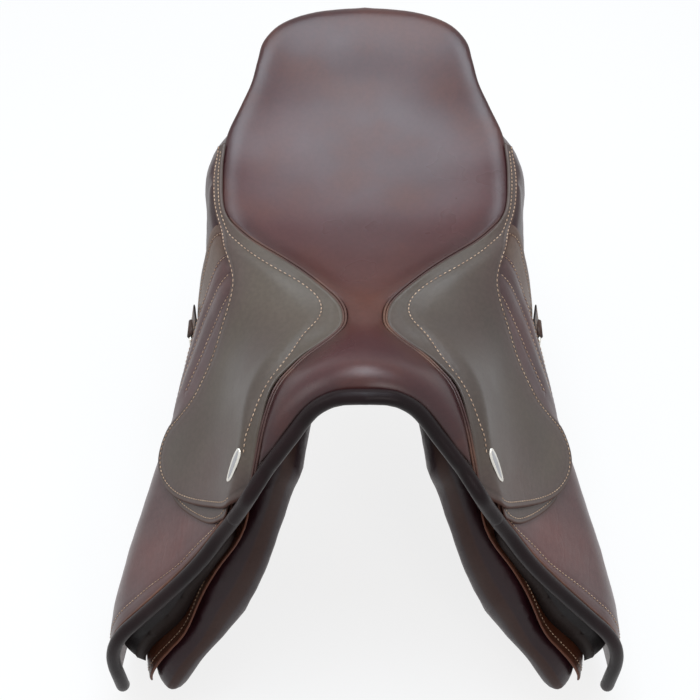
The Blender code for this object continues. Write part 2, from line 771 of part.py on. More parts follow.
def side_frame(y, u, layer):
    """A frame on the right-hand side form: X runs back, Y up the slope and Z out of it."""
    origin = on_side(y, u, layer)
    along = (on_side(y + 3, u, layer) - on_side(y - 3, u, layer)).normalized()
    up = on_side(y, u - 3, layer) - on_side(y, u + 3, layer)
    up = (up - along * up.dot(along)).normalized()
    out = along.cross(up)
    frame = Matrix((along, up, out)).transposed().to_4x4()
    frame.translation = origin
    return frame


# Stirrup bars: a plate riveted on the tree, a lug at its front and the bar, open at the back
front_y, back_y = BAR_Y
upper_u, lower_u = BAR_PLATE_U
outline = [(front_y, upper_u + 4), (front_y + 4, upper_u), (back_y - 4, upper_u),
           (back_y, upper_u + 4), (back_y, lower_u), (front_y, lower_u)]
plate = leather_sheet(outline, BAR_PLATE_THICKNESS, lambda y, u: BAR_PLATE_LAYER, step=20)
path = [on_side(front_y + 9, lower_u - 5, BAR_PLATE_LAYER), on_side(front_y + 6, lower_u, -2),
        on_side(front_y + 7, BAR_U - 4, BAR_LAYER), on_side(front_y + 14, BAR_U, BAR_LAYER),
        on_side(-134, BAR_U, BAR_LAYER), on_side(BAR_END, BAR_U, BAR_LAYER)]
bar = boolean(plate, tube_mesh(path, BAR_RADIUS, 2), "UNION")
catch_frame = side_frame(CATCH_PIN_Y, BAR_U, BAR_LAYER)
ear_at = catch_frame @ Matrix.Translation((0, CATCH_WIDTH / 2 + 3.4, -3.0))
bar = boolean(bar, box_mesh(ear_at, (7, 4, 11)), "UNION")
foot_at = catch_frame @ Matrix.Translation((0, CATCH_WIDTH / 2 + 8, BAR_PLATE_LAYER - BAR_LAYER))
bar = boolean(bar, box_mesh(foot_at, (7, 13, 2.6)), "UNION")
pin = [catch_frame @ Vector((0, w, 0)) for w in (CATCH_WIDTH / 2 + 3, -CATCH_WIDTH / 2 - 1)]
bar = boolean(bar, tube_mesh(pin, CATCH_PIN_RADIUS, 1), "UNION")
add_pair("stirrup_bar", bar, bright, smooth=30)

# Safety catches, on a pin at the open end of each bar
body_at = catch_frame @ Matrix.Translation((CATCH_LENGTH / 2 - 3.2, 0, 0))
catch = box_mesh(body_at, (CATCH_LENGTH, CATCH_WIDTH, CATCH_THICKNESS))
bore = [catch_frame @ Vector((0, w, 0)) for w in (CATCH_WIDTH, -CATCH_WIDTH)]
catch = boolean(catch, tube_mesh(bore, CATCH_PIN_RADIUS + TOUCH_GAP, 1), "DIFFERENCE")
add_pair("catch", catch, bright, catch_frame.translation, smooth=30)

# Sweat flaps
outline = rounded(SWEAT_EDGE, 2)
mesh = leather_sheet(outline, SWEAT_FLAP_THICKNESS, sweat_layer, step=24)
add_pair("sweat_flap", mesh, tan_hide)

# Knee blocks, between the sweat flaps and the fronts of the flaps
front = fair([(u, y) for y, u in FLAP_FRONT])
block_front = [(front(u) + BLOCK_INSET, u) for u in BLOCK_FRONT_U]
block_back = [(front(u) + BLOCK_INSET + BLOCK_WIDTH, u) for u in BLOCK_BACK_U]
outline = rounded(block_front + block_back, 2)
rim = rim_distance(outline)


def block_face(y, u, upper):
    top = -FLAP_THICKNESS / 2 - BLOCK_GAP
    bottom = sweat_layer(y, u) + SWEAT_FLAP_THICKNESS / 2 + BLOCK_GAP
    full = crown(rim(y, u), BLOCK_RADIUS, 0.3)
    top_now = bottom + (top - bottom) * full
    return on_side(y, u, top_now if upper else bottom)


mesh = solid_from(flat_pattern(outline, 30, rings=(5.0, 14.0)), block_face)
add_pair("knee_block", mesh, block_hide)

# Panels
outline = rounded(PANEL_EDGE, 2)
rim = rim_distance(outline)


def panel_top(y, u):
    """Height over the pattern of the panel's upper face: under the tree, else under the side."""
    back = ease(y, 90, 130)
    open_layer = sweat_layer(y, u) - SWEAT_FLAP_THICKNESS / 2 - PANEL_GAP
    back_layer = PANEL_BACK_DEPTH * (ease(u, 25, 90) - 1) - 4.0
    layer = open_layer + (back_layer - open_layer) * back
    point = on_side(y, u, layer)
    open_h = (point.x + point.z) / ROOT2
    x = point.x
    h = open_h
    for _ in range(6):
        x = (u + h) / ROOT2
        under = min(x, seam_x(y) - 2) if back > 0 else x
        h = min(open_h, ROOT2 * (tree_z(under, max(y, -200)) - PANEL_UNDER_TREE) + u)
    half = tree_half(max(y, -184))
    free = ease(x, half + 3, half + 20) * (1 - back)
    return h + (open_h - h) * free


def panel_face(y, u, upper):
    top = panel_top(y, u)
    bottom = min(bearing(y, u), top - 12)
    middle = top * 0.55 + bottom * 0.45
    full = crown(rim(y, u), PANEL_RADIUS, 0.2)
    return from_pattern(y, u, middle + ((top if upper else bottom) - middle) * full)


mesh = solid_from(flat_pattern(outline, 40, rings=(5.0, 14.0)), panel_face)
add_pair("panel", mesh, panel_hide)

# Billets, and the webs that hang them from the tree, between flap and sweat flap


def web_layer(y, u):
    """Low under the stirrup bar, then over the tops of the billets."""
    return WEB_LOW_LAYER + (WEB_LAYER - WEB_LOW_LAYER) * ease(u, 34, BILLET_START_U - 2)


for number in range(3):
    y0 = BILLET_FIRST_Y + number * BILLET_SPACING
    half = BILLET_WIDTH / 2
    outline = [(y0 - half, BILLET_START_U), (y0 - half, BILLET_END_U - 12), (y0 - 5, BILLET_END_U),
               (y0 + 5, BILLET_END_U), (y0 + half, BILLET_END_U - 12), (y0 + half, BILLET_START_U)]
    mesh = leather_sheet(outline, BILLET_THICKNESS, lambda y, u: BILLET_LAYER, step=26)
    pivot = on_side(y0, BILLET_START_U, BILLET_LAYER)
    add_pair("billet_" + str(number + 1), mesh, strap_hide, pivot)
    half = WEB_WIDTH / 2
    outline = [(y0 - half, WEB_START_U), (y0 - half, WEB_END_U), (y0 + half, WEB_END_U),
               (y0 + half, WEB_START_U)]
    mesh = leather_sheet(outline, WEB_STRAP_THICKNESS, web_layer, step=TREE_GRID)
    add_pair("billet_web_" + str(number + 1), mesh, canvas)

# Dees on the back edges of the sweat flaps, each in a folded leather chape
chape_layer = SWEAT_FLAP_THICKNESS / 2 + CHAPE_GAP + CHAPE_THICKNESS / 2
dee_at = on_side(DEE_Y, DEE_U, sweat_layer(DEE_Y, DEE_U) + chape_layer + DEE_WIRE)
half = CHAPE_WIDTH / 2
outline = [(DEE_Y - half, DEE_U - CHAPE_LENGTH), (DEE_Y - half, DEE_U - 2), (DEE_Y + half, DEE_U - 2),
           (DEE_Y + half, DEE_U - CHAPE_LENGTH)]
mesh = leather_sheet(outline, CHAPE_THICKNESS, lambda y, u: sweat_layer(y, u) + chape_layer, step=12)
barrel = [dee_at + Vector((0, k * half, 0)) for k in (-1, 1)]
mesh = boolean(mesh, tube_mesh(barrel, DEE_WIRE + CHAPE_THICKNESS, 2), "UNION")
bore = [dee_at + Vector((0, k * CHAPE_WIDTH, 0)) for k in (-1, 1)]
mesh = boolean(mesh, tube_mesh(bore, DEE_WIRE + TOUCH_GAP, 2), "DIFFERENCE")
add_pair("dee_chape", mesh, strap_hide, smooth=30)
reach = DEE_WIDTH / 2
path = [dee_at + Vector((0, a * reach, b * DEE_DROP))
        for a, b in ((-1, 0), (-0.5, 0), (0.5, 0), (1, 0), (0.97, -0.45), (0.62, -0.86), (0, -1),
                     (-0.62, -0.86), (-0.97, -0.45))]
add_pair("dee", tube_mesh(path, DEE_WIRE, 2, closed=True), bright, dee_at)

# Channel lining between the panels, under the tree
outline = both_halves([(0, -186), (LINING_HALF, -186), (LINING_HALF, 236), (0, 242)])
mesh = solid_from(
    flat_pattern(outline, 48),
    lambda x, y, upper: (x, y, tree_z(x, y) - LINING_UNDER_TREE + (LINING_THICKNESS if upper else 0)),
)
add("channel_lining", mesh, panel_hide)

# Cantle band, under the welt round the back of the seat
back_line = [Vector(p) for p in SEAM if p[1] > CANTLE_FIRST_Y][::-1]
reach = [0.0]
for one, two in zip(back_line, back_line[1:]):
    reach.append(reach[-1] + (two - one).length)
band_x = fair([(s, p.x) for s, p in zip(reach, back_line)])
band_y = fair([(s, p.y) for s, p in zip(reach, back_line)])
band_z = fair([(s, p.z) for s, p in zip(reach, back_line)])


def cantle_face(s, down, upper):
    """A place on the band: s runs round from the middle of the cantle, down from 0 to 1."""
    here = abs(s)
    along = Vector((band_x(here + 1) - band_x(here - 1), band_y(here + 1) - band_y(here - 1), 0))
    if here < 0.01:
        along = Vector((1, 0, 0))
    along.normalize()
    off = CANTLE_THICKNESS / 2 * (1 if upper else -1)
    part = 1 - here / reach[-1]
    height = CANTLE_SIDE_HEIGHT + (CANTLE_BACK_HEIGHT - CANTLE_SIDE_HEIGHT) * part
    top_z = band_z(here) - WELT_SUNK - WELT_RADIUS - PLATE_GAP
    x = band_x(here) - along.y * off
    return (math.copysign(x, s) if here > 0.01 else 0.0, band_y(here) + along.x * off,
            top_z - height * down)


mesh = solid_from(flat_pattern([(0, 0), (reach[-1], 0), (reach[-1], 1), (0, 1)], 12), cantle_face,
                  mirror=True)
add("cantle_band", mesh, seat_hide, smooth=30)
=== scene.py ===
"""The look of a close contact saddle, put together from the tree outwards.

The pommel points along -Y, the cantle along +Y, and +Z is up. Sizes are in
millimetres and become metres when a mesh is made. Right is +X; each
right-hand leather has a left-hand twin.
"""

import functools
import math

import bmesh
import bpy
import numpy as np
from mathutils import Matrix, Vector, noise


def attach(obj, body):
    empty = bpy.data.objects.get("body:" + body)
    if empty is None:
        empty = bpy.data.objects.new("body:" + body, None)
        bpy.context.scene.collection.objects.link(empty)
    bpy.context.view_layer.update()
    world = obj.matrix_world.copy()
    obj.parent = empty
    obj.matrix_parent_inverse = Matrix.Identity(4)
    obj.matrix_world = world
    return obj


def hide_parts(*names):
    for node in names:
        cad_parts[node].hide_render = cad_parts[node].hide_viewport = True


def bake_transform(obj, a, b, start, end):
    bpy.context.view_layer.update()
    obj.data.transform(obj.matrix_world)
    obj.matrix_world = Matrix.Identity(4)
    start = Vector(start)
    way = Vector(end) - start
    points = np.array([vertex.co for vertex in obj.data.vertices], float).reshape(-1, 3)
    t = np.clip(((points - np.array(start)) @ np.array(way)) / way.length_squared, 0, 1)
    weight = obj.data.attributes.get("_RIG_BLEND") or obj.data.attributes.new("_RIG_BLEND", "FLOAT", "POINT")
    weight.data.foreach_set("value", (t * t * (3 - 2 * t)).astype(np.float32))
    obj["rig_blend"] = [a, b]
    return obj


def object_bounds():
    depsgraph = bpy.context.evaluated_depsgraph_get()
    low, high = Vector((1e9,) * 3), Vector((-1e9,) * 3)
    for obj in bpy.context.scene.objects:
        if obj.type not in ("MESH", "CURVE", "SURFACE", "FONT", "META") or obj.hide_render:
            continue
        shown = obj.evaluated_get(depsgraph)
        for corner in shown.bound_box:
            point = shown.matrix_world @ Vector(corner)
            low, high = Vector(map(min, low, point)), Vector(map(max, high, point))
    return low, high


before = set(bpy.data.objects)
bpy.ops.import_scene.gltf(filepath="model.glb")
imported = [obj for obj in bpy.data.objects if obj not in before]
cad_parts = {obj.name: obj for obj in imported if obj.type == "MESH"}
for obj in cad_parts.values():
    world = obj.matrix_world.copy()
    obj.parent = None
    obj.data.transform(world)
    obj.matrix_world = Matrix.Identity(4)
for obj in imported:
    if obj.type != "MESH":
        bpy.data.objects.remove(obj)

cad_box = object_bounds()

# Tree: a laminated beech frame, glued in a mould, with the plies showing at its edges.
# The steel head plate, gullet plate and spring rails are riveted to it cold.
def node(tree, kind, inputs=None, **settings):
    """One shader node, with its settings and its inputs set or linked."""
    made = tree.nodes.new(kind)
    for key, value in settings.items():
        setattr(made, key, value)
    for key, value in (inputs or {}).items():
        if isinstance(value, bpy.types.NodeSocket):
            tree.links.new(value, made.inputs[key])
        else:
            made.inputs[key].default_value = value
    return made


def spread(tree, value, low, high, start=0.0, end=1.0):
    """A value eased from one range to another."""
    return node(tree, "ShaderNodeMapRange", {"Value": value, "From Min": low, "From Max": high,
                "To Min": start, "To Max": end}, interpolation_type="SMOOTHSTEP").outputs[0]


def between(tree, fac, one, two, way="MIX"):
    """Two colours mixed."""
    made = node(tree, "ShaderNodeMix", data_type="RGBA", blend_type=way)
    for index, value in ((0, fac), (6, one), (7, two)):
        if isinstance(value, bpy.types.NodeSocket):
            tree.links.new(value, made.inputs[index])
        else:
            made.inputs[index].default_value = value
    return made.outputs[2]


def sums(tree, operation, *values):
    """One number made from one or two others."""
    return node(tree, "ShaderNodeMath", dict(enumerate(values)), operation=operation).outputs[0]


def place_on(tree, squeeze=None):
    """The place on the piece, with an axis squeezed where a pattern is drawn out along it."""
    place = node(tree, "ShaderNodeTexCoord").outputs["Object"]
    if squeeze:
        place = node(tree, "ShaderNodeMapping", {"Vector": place, "Scale": squeeze}).outputs[0]
    return place


def clouds(tree, place, scale, detail, rough=0.5):
    """A soft cloudy pattern."""
    return node(tree, "ShaderNodeTexNoise", {"Vector": place, "Scale": scale, "Detail": detail,
                "Roughness": rough}).outputs[0]


def ridges(tree, place, scale, wander, way, detail=2.0):
    """Even ridges that wander a little."""
    return node(tree, "ShaderNodeTexWave", {"Vector": place, "Scale": scale, "Distortion": wander,
                "Detail": detail}, bands_direction=way).outputs["Fac"]


def finish_on(name):
    """A new material with its shader, ready for its nodes."""
    material = bpy.data.materials.new(name)
    material.use_nodes = True
    return material, material.node_tree, material.node_tree.nodes["Principled BSDF"]


def surface_of(tree, shader, color, roughness, height, depth=0.001):
    """Puts a colour, a roughness and a height in millimetres on a shader."""
    bump = node(tree, "ShaderNodeBump", {"Height": height, "Distance": depth, "Strength": 1.0})
    tree.links.new(color, shader.inputs["Base Color"])
    tree.links.new(roughness, shader.inputs["Roughness"])
    tree.links.new(bump.outputs[0], shader.inputs["Normal"])


def textured(tree, shader, color, pattern, roughness, relief):
    """A surface with one pattern for its roughness and for its relief in millimetres.

    roughness is the pattern's lowest and highest, and the roughness at each.
    """
    surface_of(tree, shader, color, spread(tree, pattern, *roughness),
               sums(tree, "MULTIPLY", pattern, relief))


beech, tree, shader = finish_on("laminated_beech")
grain = clouds(tree, place_on(tree, (1.0, 0.06, 1.0)), 160.0, 6.0)
plies = ridges(tree, place_on(tree), 190.0, 0.6, "Z", 1.0)
color = between(tree, grain, (0.13, 0.07, 0.035, 1), (0.22, 0.13, 0.07, 1))
color = between(tree, spread(tree, plies, 0.75, 1.0, 0.0, 0.5), color, (0.07, 0.035, 0.02, 1))
textured(tree, shader, color, grain, (0.2, 0.8, 0.42, 0.6), 0.1)
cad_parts["tree"].material_slots[0].material = beech

steel, tree, shader = finish_on("rolled_steel")
brushed = clouds(tree, place_on(tree, (1.0, 0.05, 1.0)), 900.0, 4.0)
mottle = clouds(tree, place_on(tree), 45.0, 3.0)
color = between(tree, mottle, (0.33, 0.33, 0.35, 1), (0.52, 0.52, 0.53, 1))
shader.inputs["Metallic"].default_value = 1.0
textured(tree, shader, color, brushed, (0.2, 0.8, 0.3, 0.48), 0.03)
for name in ("head_plate", "gullet_plate", "spring_rail_left", "spring_rail_right"):
    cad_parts[name].material_slots[0].material = steel

# Stirrup bars and catches: drop-forged steel, polished bright. Each bar is riveted to the
# tree by its plate and open at the back, where the hinged catch keeps the leather on.
SIDES = (("right", 1), ("left", -1))
polished, tree, shader = finish_on("polished_metal")
haze = clouds(tree, place_on(tree), 130.0, 5.0)
scratch = clouds(tree, place_on(tree), 1400.0, 2.0)
color = between(tree, haze, (0.62, 0.60, 0.55, 1), (0.80, 0.78, 0.73, 1))
shader.inputs["Metallic"].default_value = 1.0
surface_of(tree, shader, color, spread(tree, haze, 0.3, 0.7, 0.14, 0.3),
           sums(tree, "MULTIPLY", scratch, 0.012))
for side, _ in SIDES:
    for name in ("stirrup_bar_", "catch_"):
        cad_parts[name + side].material_slots[0].material = polished


# Seat webbing: strained jute webs over the opening of the tree, under the seat. They follow
# the top of the tree, which is set by the seat above it and the slope of the sides.
MM = 0.001
ROOT2 = math.sqrt(2.0)
SEAM_LINE = (
    (101, -243, 36), (91, -211, 80), (80, -180, 97), (67, -160, 100), (52, -142, 100),
    (34, -124, 98), (21, -108, 97), (19, -93, 96), (24, -77, 95), (38, -60, 95),
    (61, -37, 94), (85, -17, 93), (109, 2, 92), (129, 24, 92), (139, 46, 94),
    (142, 80, 98), (142, 108, 101), (138, 135, 109), (126, 162, 120), (115, 185, 132),
    (109, 208, 143), (103, 232, 150), (85, 254, 154), (52, 270, 155), (0, 278, 155),
)
SEAT_CREST = (
    (-245, 108), (-222, 130), (-205, 143), (-190, 146), (-170, 138), (-145, 124),
    (-115, 107), (-93, 100), (-55, 86), (-20, 77), (20, 74), (60, 75), (105, 82),
    (150, 94), (195, 114), (235, 139), (262, 152), (280, 155),
)
SEAT_NECK = 16.0
SEAT_BEYOND = 1.15
SIDE_SECTION_U = (-54, 0, 50, 100, 150, 200, 260)
SIDE_SECTIONS = {
    -262: (152, 114, 95, 79, 71, 68, 66),
    -200: (150, 125, 104, 86, 77, 73, 70),
    -93: (81, 102, 109, 106, 100, 92, 85),
    0: (95, 135, 149, 129, 106, 88, 70),
    80: (95, 150, 173, 146, 112, 88, 70),
    150: (90, 150, 168, 147, 113, 88, 70),
    235: (66, 120, 134, 116, 92, 80, 70),
}
WALL_LINE = ((-310, 248), (-280, 253), (-250, 252), (-200, 241), (-160, 226), (-80, 196),
             (0, 187), (80, 186))
WALL_BLEND = 32.0
SECTION_REACH = 30
SIDE_SEARCH_U = (-80.0, 170.0)
SIDE_SEARCH_STEPS = 14
TREE_UNDER_SEAT = 24.4
TREE_UNDER_SIDE = 18.0
TREE_BLEND = 10.0
TREE_INNER = ((0, 206), (38, 194), (60, 160), (69, 110), (63, 60), (45, 0), (29, -50),
              (21, -93), (18, -130), (14, -152), (0, -158))
WEB_OVER_TREE = 1.8
WEB_THICKNESS = 1.4
WEB_LAP = 9.0
WEB_FRONT_Y = -168.0
WEB_BACK_Y = 218.0
CUT_LEAST = 1.0
WELD = 0.12
MIRROR_WELD = 0.01
NO_ROW = 99.0


def fair(points):
    """A smooth curve through (x, y) points, straight beyond its ends."""
    xs = [float(p[0]) for p in points]
    ys = [float(p[1]) for p in points]
    last = len(xs) - 1
    slopes = []
    for i in range(len(xs)):
        before, after = max(i - 1, 0), min(i + 1, last)
        slopes.append((ys[after] - ys[before]) / (xs[after] - xs[before]))

    def value(x):
        if x <= xs[0]:
            return ys[0] + slopes[0] * (x - xs[0])
        if x >= xs[last]:
            return ys[last] + slopes[last] * (x - xs[last])
        i = 0
        while xs[i + 1] < x:
            i += 1
        span = xs[i + 1] - xs[i]
        t = (x - xs[i]) / span
        return ((2 * t**3 - 3 * t**2 + 1) * ys[i] + (t**3 - 2 * t**2 + t) * span * slopes[i]
                + (3 * t**2 - 2 * t**3) * ys[i + 1] + (t**3 - t**2) * span * slopes[i + 1])

    return value


def surface(sections, knots):
    """A height over (y, u) through cross sections that share their u knots."""
    stations = sorted(sections)
    across = [fair(list(zip(knots, sections[y]))) for y in stations]

    def height(y, u):
        y = min(max(y, stations[0] - SECTION_REACH), stations[-1] + SECTION_REACH)
        return fair([(s, f(u)) for s, f in zip(stations, across)])(y)

    return height


def blend_min(a, b, width):
    """The lower of two heights, rounded where they cross."""
    near = max(width - abs(a - b), 0.0)
    return min(a, b) - near * near / (4 * width)


def ease(value, start, end):
    """From 0 at the start to 1 at the end, gently at both."""
    t = min(max((value - start) / (end - start), 0.0), 1.0)
    return t * t * (3 - 2 * t)


def rounded(points, steps=3, closed=True):
    """A smooth outline through chosen points, as a list of 2D or 3D points."""
    count = len(points)
    result = []
    for i in range(count if closed else count - 1):
        ring = [points[(i + k) % count] if closed else points[min(max(i + k, 0), count - 1)]
                for k in (-1, 0, 1, 2)]
        for step in range(steps):
            t = step / steps
            result.append(tuple(
                0.5 * (2 * b + (c - a) * t + (2 * a - 5 * b + 4 * c - d) * t**2
                       + (3 * b - a - 3 * c + d) * t**3)
                for a, b, c, d in zip(*ring)))
    if not closed:
        result.append(tuple(points[-1]))
    return result


SEAM = rounded(SEAM_LINE, 2, closed=False)
seam_x = fair([(p[1], p[0]) for p in SEAM])
seam_z = fair([(p[1], p[2]) for p in SEAM])
crest_z = fair(SEAT_CREST)
wall_x = fair(WALL_LINE)
upper_side = surface(SIDE_SECTIONS, SIDE_SECTION_U)


@functools.lru_cache(maxsize=None)
def side_height(y, u):
    """How far the side of the saddle stands over the pattern plane, which slopes at 45 degrees."""
    return blend_min(upper_side(y, u), ROOT2 * wall_x(y) - u, WALL_BLEND)


def from_pattern(y, u, h):
    """The point at this height over pattern place (y, u). u runs down the side."""
    return Vector(((u + h) / ROOT2, y, (h - u) / ROOT2))


def on_side(y, u, layer=0.0):
    """The point over pattern place (y, u), this far out from the side form."""
    h = side_height(y, u)
    rise_u = (side_height(y, u + 2) - h) / 2
    rise_y = (side_height(y + 2, u) - h) / 2
    return from_pattern(y, u, h + layer * math.sqrt(1 + rise_u**2 + rise_y**2))


def seat_z(x, y):
    """Top of the seat over the plan."""
    width = max(seam_x(y), SEAT_NECK)
    part = min(abs(x) / width, SEAT_BEYOND)
    return crest_z(y) + (seam_z(y) - crest_z(y)) * part**2


@functools.lru_cache(maxsize=None)
def side_z(x, y):
    """Height of the side form over the plan, inside the wall."""
    low, high = SIDE_SEARCH_U
    for _ in range(SIDE_SEARCH_STEPS):
        u = (low + high) / 2
        if from_pattern(y, u, side_height(y, u)).x < x:
            low = u
        else:
            high = u
    return from_pattern(y, low, side_height(y, low)).z


def tree_z(x, y):
    """Top of the tree: under the seat inside the seam, and under the side outside it."""
    edge = max(seam_x(y), SEAT_NECK)
    inner = seat_z(min(abs(x), edge), y) - TREE_UNDER_SEAT
    if abs(x) <= edge:
        return inner
    return blend_min(inner, side_z(round(abs(x)), round(y)) - TREE_UNDER_SIDE, TREE_BLEND)


def inset_line(points, distance):
    """An open line of 2D points moved to its left by a distance."""
    moved = []
    for i, point in enumerate(points):
        a = Vector(points[max(i - 1, 0)][:2])
        b = Vector(points[min(i + 1, len(points) - 1)][:2])
        along = (b - a).normalized()
        moved.append((point[0] - along.y * distance, point[1] + along.x * distance))
    return moved


def line_distance(places, line, closed=False, signed=False):
    """How far each 2D place is from a line, negative on its right where that is asked for."""
    line = np.array([p[:2] for p in line], float)
    start = line if closed else line[:-1]
    end = np.roll(line, -1, axis=0) if closed else line[1:]
    along = end - start
    away = places[:, None, :] - start[None]
    t = np.clip((away * along).sum(2) / np.maximum((along**2).sum(1), 1e-9), 0, 1)
    gap = np.linalg.norm(away - along[None] * t[..., None], axis=2)
    near = gap.argmin(axis=1)
    rows = np.arange(len(places))
    distance = gap[rows, near]
    if signed:
        a, b = along[near], away[rows, near]
        distance = distance * np.where(a[:, 0] * b[:, 1] - a[:, 1] * b[:, 0] < 0, -1, 1)
    return distance


def cut_pattern(outline, step, rings=(), mirror=False):
    """A pattern in its own plane, with rings inside its rim, cut along a grid."""
    bm = bmesh.new()
    face = bm.faces.new([bm.verts.new((a, b, 0)) for a, b in outline])
    face.normal_update()
    depth = 0.0
    for ring in rings:
        bmesh.ops.inset_region(bm, faces=[face], thickness=ring - depth, use_boundary=True,
                               use_even_offset=True)
        depth = ring
    for axis in (0, 1):
        values = [v.co[axis] for v in bm.verts]
        for k in range(math.ceil(min(values) / step), math.floor(max(values) / step) + 1):
            if min(values) + CUT_LEAST < k * step < max(values) - CUT_LEAST:
                co, no = [0, 0, 0], [0, 0, 0]
                co[axis], no[axis] = k * step, 1
                bmesh.ops.bisect_plane(bm, geom=bm.verts[:] + bm.edges[:] + bm.faces[:],
                                       plane_co=co, plane_no=no)
    bmesh.ops.remove_doubles(bm, verts=bm.verts[:], dist=WELD)
    if mirror:
        bmesh.ops.mirror(bm, geom=bm.verts[:] + bm.edges[:] + bm.faces[:],
                         matrix=Matrix.Identity(4), merge_dist=MIRROR_WELD, axis="X")
        bmesh.ops.remove_doubles(bm, verts=bm.verts[:], dist=MIRROR_WELD)
    return bm


def lay(bm, outline, point_at, rows=(), worn=None, free=None):
    """Gives a cut pattern its two faces. point_at(a, b, upper, rim, row) returns each point.

    Each point keeps how far it is from the rim, or from the free part of it where that is
    given, and from the nearest stitched row, on either side of it and in all, and how worn
    it is, from 0 to 1.
    """
    flat = np.array([v.co[:2] for v in bm.verts])
    rims = line_distance(flat, outline, closed=True)
    nearest = np.full(len(flat), NO_ROW)
    for row in rows:
        away = line_distance(flat, row, signed=True)
        nearest = np.where(np.abs(away) < np.abs(nearest), away, nearest)
    rim_layer, row_layer, near_layer, worn_layer, free_layer = (
        bm.verts.layers.float.new(name) for name in ("rim", "row", "near", "worn", "free"))
    edges = line_distance(flat, free) if free else rims
    for vert, rim, row, edge in zip(bm.verts, rims, nearest, edges):
        vert[rim_layer], vert[row_layer], vert[free_layer] = rim, row, edge
        vert[near_layer] = abs(row)
        vert[worn_layer] = worn(vert.co.x, vert.co.y) if worn else 0.0
    made = bmesh.ops.extrude_face_region(bm, geom=bm.faces[:])
    upper = {v for v in made["geom"] if isinstance(v, bmesh.types.BMVert)}
    for vert in bm.verts:
        vert.co = Vector(point_at(vert.co.x, vert.co.y, vert in upper, vert[rim_layer],
                                  vert[row_layer])) * MM
        vert[rim_layer] = vert[free_layer]
    bm.verts.layers.float.remove(free_layer)
    bmesh.ops.recalc_face_normals(bm, faces=bm.faces[:])
    if bm.calc_volume(signed=True) < 0:
        bmesh.ops.reverse_faces(bm, faces=bm.faces[:])
    return bm


def mesh_of(bm, *materials):
    """A smooth mesh from a bmesh, with its materials."""
    mesh = bpy.data.meshes.new("leather")
    bm.to_mesh(mesh)
    bm.free()
    for material in materials:
        mesh.materials.append(material)
    mesh.shade_smooth()
    return mesh


def dress(name, mesh, body, nodes=(), bend=None):
    """One piece: it rides on a body or bends between two, and stands for its CAD nodes."""
    piece = bpy.data.objects.new(name, mesh)
    bpy.context.scene.collection.objects.link(piece)
    if bend:
        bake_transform(piece, *bend)
    else:
        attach(piece, body)
    if nodes:
        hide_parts(*nodes)
    return piece


def dress_pair(name, mesh, body, nodes=(), bend=None):
    """A right-hand piece and its left-hand twin, each on its own side's bodies."""
    for side, sign in SIDES:
        twin = mesh
        if sign < 0:
            twin = mesh.copy()
            twin.transform(Matrix.Scale(-1, 4, (1, 0, 0)))
            twin.flip_normals()
        turned = None
        if bend:
            a, b, start, end = bend
            flip = Vector((sign, 1, 1))
            turned = (a.replace("SIDE", side), b.replace("SIDE", side), start * flip, end * flip)
        dress(name + "_" + side, twin, body.replace("SIDE", side),
              [n + "_" + side for n in nodes], turned)


def woven(name, light, dark, scale):
    """A plain woven web, its threads crossing at right angles."""
    material, tree, shader = finish_on(name)
    place = place_on(tree)
    weave = sums(tree, "MULTIPLY", *[ridges(tree, place, scale, 0.4, way) for way in ("X", "Y")])
    soil = clouds(tree, place, 28.0, 4.0)
    color = between(tree, weave, dark, light)
    color = between(tree, spread(tree, soil, 0.4, 0.7, 0.0, 0.5), color, dark)
    textured(tree, shader, color, weave, (0, 1, 0.95, 0.8), 0.25)
    return material


jute = woven("jute_web", (0.50, 0.42, 0.29, 1), (0.27, 0.20, 0.12, 1), 330.0)
lap = inset_line(rounded(TREE_INNER[1:-1], 2, closed=False), -WEB_LAP)
outline = [(0.0, WEB_BACK_Y)] + lap + [(0.0, WEB_FRONT_Y)]
bm = lay(cut_pattern(outline, 12, mirror=True), outline, lambda x, y, upper, rim, row: (
    x, y, tree_z(x, y) + WEB_OVER_TREE + (WEB_THICKNESS if upper else 0)))
webs = dress("strained_webs", mesh_of(bm, jute), "saddle", ["seat_webbing"])


# Seat foam: shaped sheet foam, glued over the webs, with a wool felt skin. The seat cover is
# drawn over it, so only its edge line and its soft swell ever show.
FOAM_CLEARANCE = 9.0
FOAM_UNDER_COVER = 7.0
FOAM_LEAST = 0.8
FOAM_EDGE = 1.5
FOAM_GAP = 3.4
ARCH_LINE = ((0, -215, 137), (24, -213, 132), (45, -214, 115), (62, -222, 91), (80, -234, 68),
             (93, -241, 48))
ROLL_RADIUS = 7.0
WELT_RADIUS = 3.0
SEAT_EDGE_RADIUS = 11.0
SEAT_EDGE_DROP = 3.4
POMMEL_EDGE_RADIUS = 34.0
POMMEL_EDGE_DROP = 9.0
CANTLE_EDGE_RADIUS = 17.0
CANTLE_EDGE_DROP = 8.5
CANTLE_OVERHANG = 5.6
CANTLE_ROLL_Y = (14.0, 52.0)
POMMEL_PUFF_Y = (-172.0, -128.0)
POMMEL_PUFF_IN = (2.0, 26.0)
SEAT_CORNER = (94.5, -231.5)
SEAT_CORNER_REACH = 14.0
ARCH_BY_SEAT = 16
ARCH = rounded(ARCH_LINE, 4, closed=False)


def crown(distance, radius, least=0.16):
    """How full a padded piece is at this distance from its rim, from least to 1."""
    if distance >= radius:
        return 1.0
    return max(least, math.sqrt(1 - (1 - distance / radius) ** 2))


